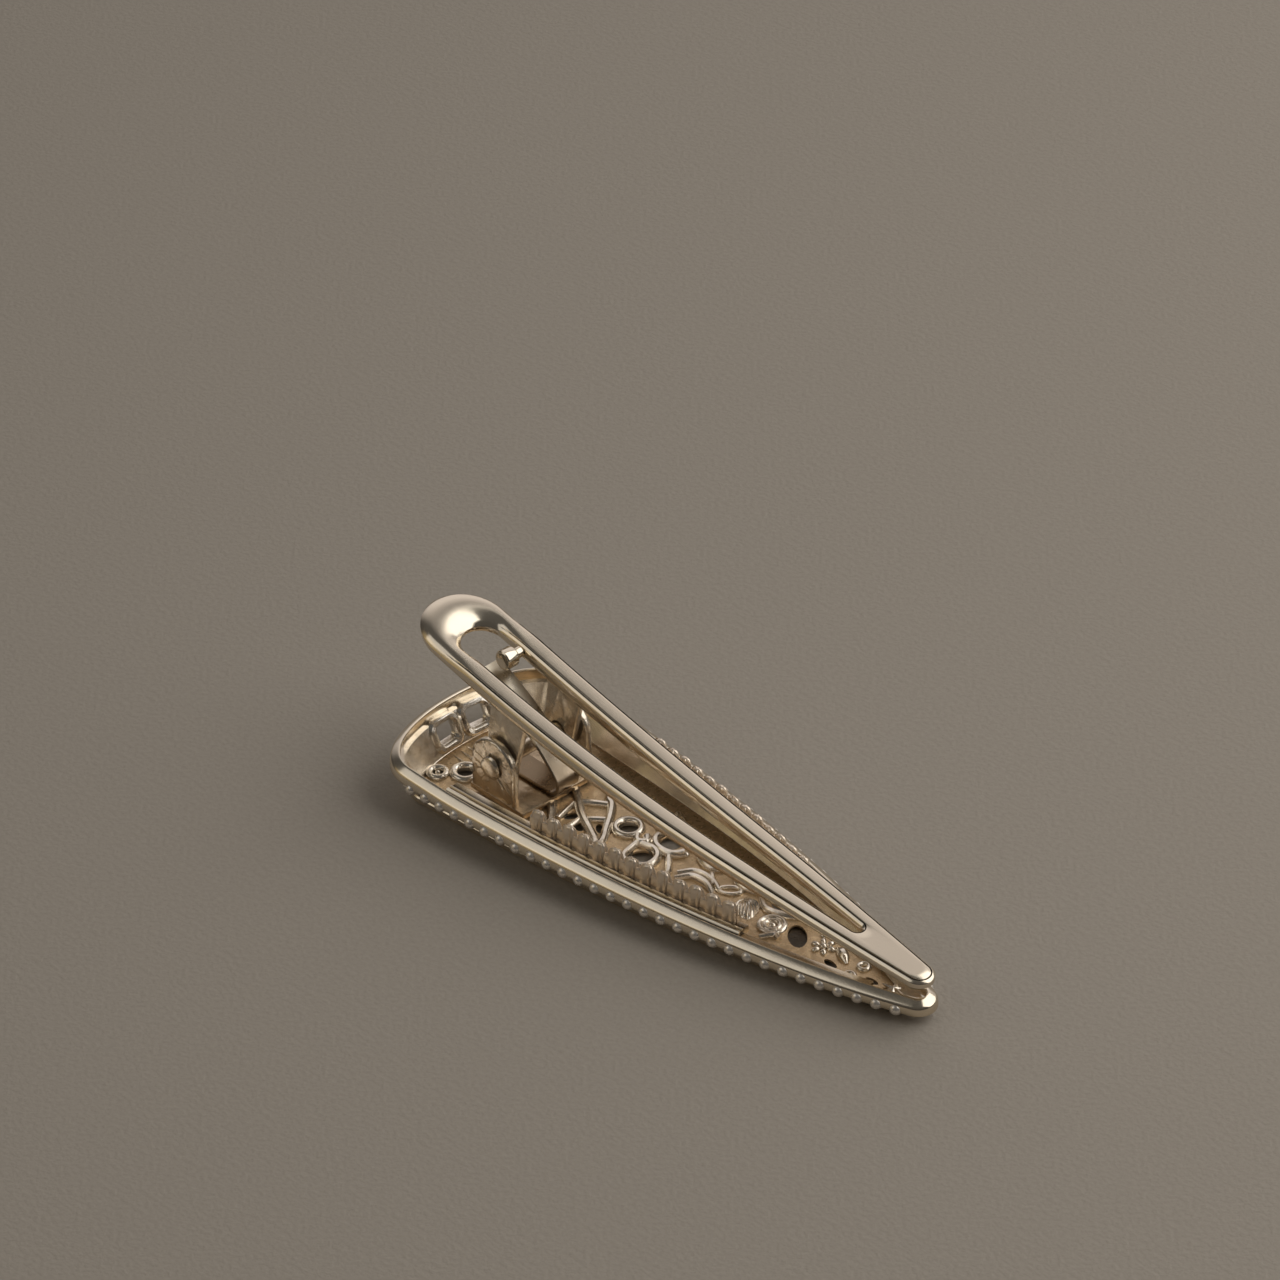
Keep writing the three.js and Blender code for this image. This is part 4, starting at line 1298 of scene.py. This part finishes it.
    def dress(self, finishes: Finishes, place: Matrix) -> None:
        """Builds the openwork and finishes it."""
        finishes.dress(self.plate(), "face_floor", "cast", Body.JAW, [], place, "gilded")
        parts = [self.rail()] + [self.stem(stem) for stem in self.stems]
        for x, y, radius, wire in self.rings:
            parts.append(Bench.ring(self.lift(x, y, self.relief), radius, wire * self.fullness, self.depth))
        for x, y, radius in self.balls:
            parts.append(Bench.ball(self.lift(x, y, self.relief), (radius, radius, self.ball_height)))
        parts += self.leaf_fan() + self.flower() + self.star() + self.ribs()
        finishes.dress(Bench.join(parts), "face_openwork", "pierced", Body.JAW, ["face_panel"], place)


@dataclass
class ClaspArm:
    """The loop arm, in millimetres from the pin along the arm."""

    rise: float = 6.35
    thickness: float = 1.7
    rear_thickness: float = 1.5
    tip_thickness: float = 1.1
    rear: float = 14.5
    front: float = 54.0
    rear_radius: float = 4.75
    tip_radius: float = 1.6
    waist: float = 4.75
    lift: float = 3.6
    lift_start: float = 28.0
    thin_start: float = 12.0
    thick_end: float = -1.8
    slot_rear: float = 9.75
    slot_front: float = 44.7
    slot_rear_radius: float = 2.35
    slot_tip_radius: float = 0.5
    slot_waist: float = 2.2
    crown: float = 0.5
    crown_power: float = 3.4
    upper: float = 0.5
    dome_start: float = -4.0
    dome_length: float = 4.5
    rail_crown: float = 0.016
    top_start: float = 0.5
    slot_top: float = 0.46
    top_rows: tuple[float, ...] = (0.0, 0.12, 0.25, 0.4, 0.6, 0.75, 0.88, 1.0)
    steps: tuple[int, int, int] = (36, 70, 16)
    outer_section: tuple[Flat, ...] = (
        (0.5, 0.0), (0.2, 0.06), (0.04, 0.18), (0.0, 0.34), (0.0, 0.7), (0.03, 0.75), (0.12, 0.82),
        (0.21, 0.89), (0.28, 0.94), (0.31, 0.95), (0.34, 0.855), (0.44, 0.855), (0.47, 0.97),
    )
    outer_groove: tuple[int, int] = (10, 11)
    slot_section: tuple[Flat, ...] = (
        (0.43, 0.97), (0.41, 0.852), (0.33, 0.852), (0.3, 0.955), (0.14, 0.87), (0.03, 0.78), (0.0, 0.65),
        (0.0, 0.35), (0.05, 0.15), (0.2, 0.04), (0.5, 0.0),
    )
    slot_groove: tuple[int, int] = (1, 2)

    def thickness_at(self, x: float) -> float:
        """Thickness of the arm at a place along it."""
        behind = max(0.0, (self.thick_end - x) / (self.rear + self.thick_end))
        ahead = max(0.0, (x - self.thin_start) / (self.front - self.thin_start))
        rear = (self.rear_thickness - self.thickness) * behind
        return self.thickness + rear + (self.tip_thickness - self.thickness) * ahead

    def underside(self, x: float) -> float:
        """Height of the arm's underside, which rises towards the thumb end."""
        behind = max(0.0, (self.lift_start - x) / (self.lift_start + self.rear))
        return self.rise - self.thickness_at(x) + self.lift * behind * behind

    def slot_half_width(self, x: float) -> float:
        """Half the slot's width at a place along it."""
        rear, tip = self.slot_rear_radius - self.slot_rear, self.slot_front - self.slot_tip_radius
        t = (x - rear) / (tip - rear)
        ends = (1 - t) ** 2 * self.slot_rear_radius + t ** 2 * self.slot_tip_radius
        return ends + 2 * t * (1 - t) * self.slot_waist

    def outline(
        self, rear: float, front: float, rear_radius: float, tip_radius: float, waist: float,
    ) -> list[Flat]:
        """A long tapered ring line from the rear, round the right side and the tip.

        Args:
            rear: How far it reaches behind the pin.
            front: How far it reaches ahead of it.
            rear_radius: Radius of its rear end.
            tip_radius: Radius of its tip.
            waist: Half width that its sides are drawn towards.

        Returns:
            Points of the closed line.
        """
        back, tip = rear_radius - rear, front - tip_radius
        middle = (back + tip) / 2
        round_rear = arc((back, 0), rear_radius, 90, 270, self.steps[0])
        right = bezier_run([(back, -rear_radius), (middle, -waist), (tip, -tip_radius)], self.steps[1])
        round_tip = arc((tip, 0), tip_radius, -90, 90, self.steps[2])
        left = [(x, -y) for x, y in right[::-1]]
        return round_rear[:-1] + right[:-1] + round_tip[:-1] + left[:-1]

    @staticmethod
    def moved(line: Sequence[Flat], distance: float) -> list[Flat]:
        """A closed line moved sideways: inwards for a positive distance."""
        out = []
        count = len(line)
        for i in range(count):
            along = (Vector(line[(i + 1) % count]) - Vector(line[i - 1])).normalized()
            out.append((line[i][0] - along.y * distance, line[i][1] + along.x * distance))
        return out

    def dome(self, x: float) -> float:
        """How domed the top is: not at all on the rails, fully at the thumb end."""
        return eased((self.dome_start - x) / self.dome_length)

    def row(self, line: Sequence[Flat], share: float, across: Sequence[float]) -> Loop:
        """One line along the arm; the flat top with its bevels runs into a round one at the thumb end.

        Args:
            line: The line seen from above.
            share: Its height on the rails as a share of the thickness.
            across: How far across the band it lies at each point, from 0 at the outline to 1 at the slot.

        Returns:
            The line in the arm's frame.
        """
        run = []
        for (x, y), place in zip(line, across):
            height = share
            if share > self.upper:
                round_top = 1 - self.crown * abs(2 * place - 1) ** self.crown_power
                height += (round_top - share) * self.dome(x)
            run.append(Vector((x, y, self.underside(x) + height * self.thickness_at(x))))
        return run

    def build(self) -> Obj:
        """Lofts the loop's section round its outline."""
        outer = self.outline(self.rear, self.front, self.rear_radius, self.tip_radius, self.waist)
        slot = self.outline(
            self.slot_rear, self.slot_front, self.slot_rear_radius, self.slot_tip_radius, self.slot_waist,
        )
        width = [(Vector(a) - Vector(b)).length for a, b in zip(outer, slot)]
        loops = []
        for inset, share in self.outer_section:
            loops.append(self.row(self.moved(outer, inset), share, [inset / w for w in width]))
        inner, far = self.moved(outer, self.top_start), self.moved(slot, -self.slot_top)
        for f in self.top_rows:
            line = [(a[0] + (b[0] - a[0]) * f, a[1] + (b[1] - a[1]) * f) for a, b in zip(inner, far)]
            across = [(self.top_start * (1 - f) + (w - self.slot_top) * f) / w for w in width]
            loops.append(self.row(line, 1.0 - self.rail_crown * (2 * f - 1) ** 2, across))
        # The cut lines of the rails get painted shade.
        cut = [*self.outer_groove, *(len(loops) + number for number in self.slot_groove)]
        for inset, share in self.slot_section:
            loops.append(self.row(self.moved(slot, -inset), share, [1 - inset / w for w in width]))

        def shade(number: int, k: int) -> float:
            """Painted shade along the cut lines of the rails, fading out on the thumb end's dome."""
            return 1 - self.dome(outer[k][0]) if number in cut else 0.0

        return Bench.loft(loops, Ends.RING, shade)

    def dress(self, finishes: Finishes, place: Matrix) -> None:
        """Builds the arm and finishes it."""
        finishes.dress(self.build(), "arm_polished", "polished", Body.ARM, ["clasp_arm"], place)


@dataclass
class Hinge:
    """The bracket, its pin, the arm's lugs, the spring's bar and the leaf spring."""

    line: JawLine
    hinge: HingeLine
    arm: ClaspArm
    ear_radius: float = 3.0
    ear_inner: float = 4.6
    ear_thickness: float = 0.8
    ear_steps: int = 80
    dent: float = 0.2
    base_rear: float = 3.2
    base_front: float = 4.4
    base: float = 0.7
    base_edge: float = 0.12
    bore: float = 0.9
    pin_radius: float = 0.75
    head_radius: float = 1.35
    head_height: float = 0.5
    head_wear: float = 0.05
    play: float = 0.3
    lug_thickness: float = 0.8
    lug_edge: float = 0.1
    lug_eye: float = 2.0
    lug_rear: float = 1.8
    lug_front: float = 2.8
    bar_radius: float = 1.05
    bar_neck: float = 0.6
    bar_behind: float = 4.7
    bar_past_middle: float = 0.1
    leaf_thickness: float = 0.4
    leaf_width: float = 2.9
    leaf_edge: float = 0.1
    bend_radius: float = 1.25
    bend_ahead: float = 3.8
    lower_end: float = 2.6
    lower_steps: int = 8
    upper_end: float = 6.0
    leaf_slope: float = 50.0
    leaf_sweep: float = 6.0

    @property
    def floor(self) -> float:
        """Height of the bracket's underside."""
        front = self.hinge.x + self.base_front
        return self.line.face_floor(front) + self.line.face_thickness + self.line.solder_gap

    @property
    def bar_spot(self) -> Flat:
        """Where the bar's middle lies in x and z of the arm's frame."""
        x = -self.bar_behind
        return x, self.arm.underside(x) + self.arm.thickness_at(x) / 2

    def ear(self, side: Side) -> Obj:
        """One round-topped ear, drawn in rings from its bore outwards and dented by the hammer."""
        middle = Vector((self.hinge.x, self.hinge.z))
        left, right = middle.x - self.ear_radius, middle.x + self.ear_radius
        outline = [(right, self.floor), *arc(tuple(middle), self.ear_radius, 0, 180, 26), (left, self.floor)]
        edge = MeasuredPath([*outline, outline[0]])
        around = [edge.read(edge.length * k / self.ear_steps)[0] for k in range(self.ear_steps)]
        inside, outside = self.ear_inner, self.ear_inner + self.ear_thickness
        rows = [(0, inside), *((share, outside) for share in (0, 0.2, 0.4, 0.6, 0.76, 0.86)),
                (0.93, outside - 0.03), (0.98, outside - 0.12), (1, outside - 0.28),
                (1, inside + 0.12), (0.96, inside)]
        loops = []
        for number, (share, y) in enumerate(rows):
            loop = []
            for k, far in enumerate(around):
                near = middle + (far - middle).normalized() * self.bore
                dent = self.dent * stray(k // 2, number) if 0 < share < 0.9 else 0.0
                spot = near.lerp(far, share)
                loop.append(Vector((spot.x, side.value * (y - abs(dent)), spot.y + 0.3 * dent)))
            loops.append(loop)
        return Bench.loft(loops, Ends.RING)

    def bracket(self) -> Obj:
        """A base plate with a round-topped, hammered ear at each side."""
        rear, front = self.hinge.x - self.base_rear, self.hinge.x + self.base_front
        outer = self.ear_inner + self.ear_thickness
        parts = [self.ear(side) for side in Side]
        corners = [(rear, -outer), (front, -outer), (front, outer), (rear, outer)]
        base = Bench.plate(corners, self.floor, self.floor + self.base)
        parts.append(Bench.soften(base, self.base_edge))
        return Bench.join(parts)

    def pin(self) -> Obj:
        """The pin, turned, with an uneven peened head at each end."""
        end = self.ear_inner + self.ear_thickness + self.line.solder_gap
        head = self.head_radius
        half = [(self.pin_radius, end), (head * 0.94, end), (head, end + 0.12), (head * 0.92, end + 0.3),
                (head * 0.7, end + 0.42), (head * 0.35, end + self.head_height)]

        def peened(radius: float, turn: float, y: float) -> float:
            """The radius at an angle, uneven on the heads."""
            wear = self.head_wear if radius > self.pin_radius else 0
            return radius * (1 - wear * (1 + math.sin(3 * turn + y)))

        profile = [(r, -y) for r, y in half[::-1]] + half
        return Bench.lathe(profile, (self.hinge.x, self.hinge.z), peened)

    def lug(self, side: Side) -> Obj:
        """A lug with its eye under one rail, in the arm's frame."""
        def top(x: float) -> Flat:
            """A point of the lug's upper edge."""
            return x, self.arm.underside(x) - self.line.solder_gap

        outline = [top(-self.lug_rear)] + arc((0, 0), self.lug_eye, 180, 360, 24)
        outline += [top(self.lug_front), top(0)]
        outer = self.ear_inner - self.play
        low, high = sorted((side.value * outer, side.value * (outer - self.lug_thickness)))
        plate = Bench.upright(outline, low, high)
        plate = Bench.cut(plate, Bench.upright(arc((0, 0), self.bore, 0, 350, 35), low - 1, high + 1))
        return Bench.soften(plate, self.lug_edge)

    def bar(self) -> Obj:
        """The short round bar that stands out from the left rail over the spring's end."""
        root, end = self.arm.slot_half_width(-self.bar_behind) - self.line.solder_gap, -self.bar_past_middle
        profile = [(0.55, end + 0.12), (0.75, end), (0.95, end), (self.bar_radius, end + 0.12),
                   (self.bar_radius, end + 1.3), (0.9, end + 1.5), (self.bar_neck, end + 1.6),
                   (self.bar_neck, root)]
        return Bench.lathe(profile, self.bar_spot)

    def leaf_line(self) -> list[Flat]:
        """The middle of the leaf spring from its foot to its free end, in x and z of the rim's frame."""
        low = self.floor + self.base + self.line.solder_gap + self.leaf_thickness / 2
        tilt = math.radians(self.hinge.tilt)
        bar_x, bar_z = self.bar_spot
        bar_height = self.hinge.z - bar_x * math.sin(tilt) + bar_z * math.cos(tilt)
        high = bar_height - self.bar_radius - self.play - self.leaf_thickness / 2
        foot, step = self.hinge.x - self.lower_end, (self.lower_end + self.bend_ahead) / self.lower_steps
        run = [(foot + i * step, low) for i in range(self.lower_steps)]
        bend = (self.hinge.x + self.bend_ahead, low + self.bend_radius)
        turn = arc(bend, self.bend_radius, -90, 90 - self.leaf_slope, 16)
        sweep = swung(turn[-1], self.leaf_sweep, 0, 180 - self.leaf_slope)
        return run + turn + bezier_run([turn[-1], sweep, (self.hinge.x - self.upper_end, high)], 24)[1:]

    def leaf(self) -> Obj:
        """The bent strip, with rounded long edges."""
        run = [Vector((x, 0, z)) for x, z in self.leaf_line()]
        half, thick = self.leaf_width / 2, self.leaf_thickness / 2
        flat = half - self.leaf_edge
        section = [(-half, -thick * 0.5), (-flat, -thick), (flat, -thick), (half, -thick * 0.5),
                   (half, thick * 0.5), (flat, thick), (-flat, thick), (-half, thick * 0.5)]
        loops = []
        for i, point in enumerate(run):
            along = (run[min(len(run) - 1, i + 1)] - run[max(0, i - 1)]).normalized()
            up = Vector((-along.z, 0, along.x))
            loops.append([point + Vector((0, y, 0)) + up * h for y, h in section])
        return Bench.loft(loops, Ends.CAPS)

    def dress(self, finishes: Finishes, place: Matrix, arm_place: Matrix) -> None:
        """Builds and finishes the hinge's pieces.

        Args:
            finishes: The finishes.
            place: The rim's frame.
            arm_place: The arm's frame.
        """
        finishes.dress(self.bracket(), "bracket_hammered", "cast", Body.JAW, ["hinge_bracket"], place)
        finishes.dress(self.pin(), "pin_peened", "cast", Body.JAW, ["hinge_pin"], place)
        for side in Side:
            node = f"arm_lug_{side.suffix}"
            finishes.dress(self.lug(side), f"lug_{side.suffix}", "cast", Body.ARM, [node], arm_place)
        finishes.dress(self.bar(), "bar_stub", "polished", Body.ARM, ["spring_bar"], arm_place)
        strip = finishes.dress(self.leaf(), "leaf_strip", "spring", None, ["leaf_spring"], place)
        bend = Vector((self.hinge.x + self.bend_ahead, 0, self.floor + self.base + self.bend_radius))
        x, z = self.leaf_line()[-3]
        start, end = place @ bend, place @ Vector((x, 0, z))
        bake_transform(strip, Body.JAW.value, Body.ARM.value, start=tuple(start), end=tuple(end))


@dataclass(frozen=True)
class Glow:
    """A soft bright patch of the studio's walls: its middle, where it is full and ends, its colour."""

    towards: tuple[float, float, float]
    full: float
    reach: float
    colour: Colour


@dataclass(frozen=True)
class Lamp:
    """A soft rectangular lamp that points at the clip."""

    name: str
    place: tuple[float, float, float]
    size: Flat
    power: float
    colour: Colour

    def build(self) -> None:
        """Hangs the lamp in its place."""
        data = bpy.data.lights.new(self.name, "AREA")
        data.shape = "RECTANGLE"
        data.size, data.size_y = self.size
        data.energy = self.power
        data.color = self.colour
        lamp = bpy.data.objects.new(self.name, data)
        bpy.context.collection.objects.link(lamp)
        lamp.location = self.place
        lamp.rotation_euler = (-Vector(self.place)).to_track_quat("-Z", "Y").to_euler()


@dataclass
class Studio:
    """Floor, soft light and camera; the camera's place is in millimetres in the rim's frame."""

    lens: float = 198.66
    sensor: float = 36.0
    clip_start: float = 0.01
    camera_place: tuple[float, float, float] = (417.25, -380.53, 423.77)
    camera_turn: float = 0.797460
    camera_drop: float = 0.630339
    floor_colour: Colour = (0.40, 0.36, 0.31)
    floor_size: float = 6.0
    floor_fleck: float = 0.1
    floor_grain: float = 1900
    floor_bump: float = 0.00009
    room_low: Colour = (0.02, 0.018, 0.016)
    room_middle: Colour = (0.058, 0.054, 0.05)
    room_high: Colour = (0.09, 0.087, 0.082)
    room_share: float = 0.3
    glows: tuple[Glow, ...] = (
        Glow((-0.64, 0.71, 0.28), 12.0, 50.0, (0.74, 0.69, 0.67)),
        Glow((-0.6, -0.72, 0.35), 8.0, 30.0, (0.34, 0.27, 0.16)),
    )
    lamps: tuple[Lamp, ...] = (
        Lamp("key_soft", (0.26, 0.38, 0.39), (0.8, 0.66), 2.65, (1.0, 0.97, 0.93)),
        Lamp("left_card", (-0.31, -0.536, 0.598), (0.62, 0.46), 0.48, (1.0, 0.98, 0.95)),
    )

    def build(self, place: Matrix) -> None:
        """Sets up the whole studio around the rim's frame."""
        bpy.context.scene.view_settings.view_transform = "Standard"
        self.floor()
        self.world()
        for lamp in self.lamps:
            lamp.build()
        self.camera(place)

    def floor(self) -> None:
        """A plain pale floor with a faint paper grain."""
        Bench.clear()
        bpy.ops.mesh.primitive_grid_add(x_subdivisions=8, y_subdivisions=8, size=self.floor_size)
        floor = bpy.context.object
        floor.name = "floor"
        material = bpy.data.materials.new("floor_paper")
        material.use_nodes = True
        wiring = Wiring(material.node_tree)
        place = wiring.add("TexCoord").outputs["Object"]
        grain = {"Vector": place, "Scale": self.floor_grain, "Detail": 6}
        noise = wiring.add("TexNoise", grain).outputs["Fac"]
        fleck = self.floor_fleck
        dim, bright = (tuple(c * share for c in self.floor_colour) for share in (1 - fleck, 1 + fleck))
        bump = wiring.add("Bump", {"Distance": self.floor_bump, "Height": noise})
        wiring.feed(wiring.tree.nodes["Principled BSDF"], {
            "Roughness": 0.9, "Specular IOR Level": 0.2, "Base Color": wiring.blend((*dim, 1), bright, noise),
            "Normal": bump.outputs["Normal"],
        })
        floor.data.materials.append(material)
        floor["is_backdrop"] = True

    def world(self) -> None:
        """A dim grey room, darkest at the horizon, with soft bright patches."""
        world = bpy.data.worlds.new("studio_room")
        bpy.context.scene.world = world
        world.use_nodes = True
        wiring = Wiring(world.node_tree)
        place = wiring.add("TexCoord").outputs["Generated"]
        height = wiring.add("SeparateXYZ", {"Vector": place}).outputs["Z"]
        ramp = wiring.add("ValToRGB", {"Fac": height})
        stops = ramp.color_ramp.elements
        stops[0].color = (*self.room_low, 1)
        stops[1].color = (*self.room_high, 1)
        stops.new(self.room_share).color = (*self.room_middle, 1)
        light = ramp.outputs["Color"]
        for glow in self.glows:
            towards = Vector(glow.towards).normalized()
            facing = wiring.add("VectorMath", {0: place, 1: towards}, operation="DOT_PRODUCT").outputs
            near, far = (math.cos(math.radians(angle)) for angle in (glow.full, glow.reach))
            inputs = {"Value": facing["Value"], "From Min": far, "From Max": near}
            soft = wiring.add("MapRange", inputs, interpolation_type="SMOOTHSTEP").outputs
            light = wiring.blend(light, glow.colour, soft["Result"])
        wiring.feed(wiring.tree.nodes["Background"], {"Color": light})

    def camera(self, place: Matrix) -> None:
        """The camera at the photograph's viewing angle.

        Args:
            place: The rim's frame.
        """
        data = bpy.data.cameras.new("view")
        data.lens = self.lens
        data.sensor_width = self.sensor
        data.clip_start = self.clip_start
        camera = bpy.data.objects.new("view", data)
        bpy.context.collection.objects.link(camera)
        turn, drop = self.camera_turn, self.camera_drop
        right = Vector((math.cos(turn), math.sin(turn), 0))
        ahead = Vector((-math.sin(turn) * math.cos(drop), math.cos(turn) * math.cos(drop), -math.sin(drop)))
        axes = Matrix((right, right.cross(ahead), -ahead)).transposed().to_4x4()
        camera.location, rotation, _ = (place @ Matrix.Translation(self.camera_place) @ axes).decompose()
        camera.rotation_euler = rotation.to_euler()
        bpy.context.scene.camera = camera


def main() -> None:
    """Builds the studio and every piece of the clip in order."""
    logging.basicConfig(level=logging.INFO, format="%(name)s %(message)s")
    line = JawLine()
    hinge = HingeLine()
    place = hinge.rim_frame(line)
    arm_place = hinge.arm_frame(line)
    finishes = Finishes()
    arm = ClaspArm()
    Studio().build(place)
    Rim(line).dress(finishes, place)
    Gallery(line).dress(finishes, place)
    Openwork(line).dress(finishes, place)
    for side in Side:
        BeadRow(line, side).dress(finishes, place)
        Comb(line, side).dress(finishes, place)
    arm.dress(finishes, arm_place)
    Hinge(line, hinge, arm).dress(finishes, place, arm_place)
    boxes = {"cad": CAD_BOX, "visual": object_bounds()}
    {key: [list(map(float, corner)) for corner in box] for key, box in boxes.items()}


if __name__ == "__main__":
    main()
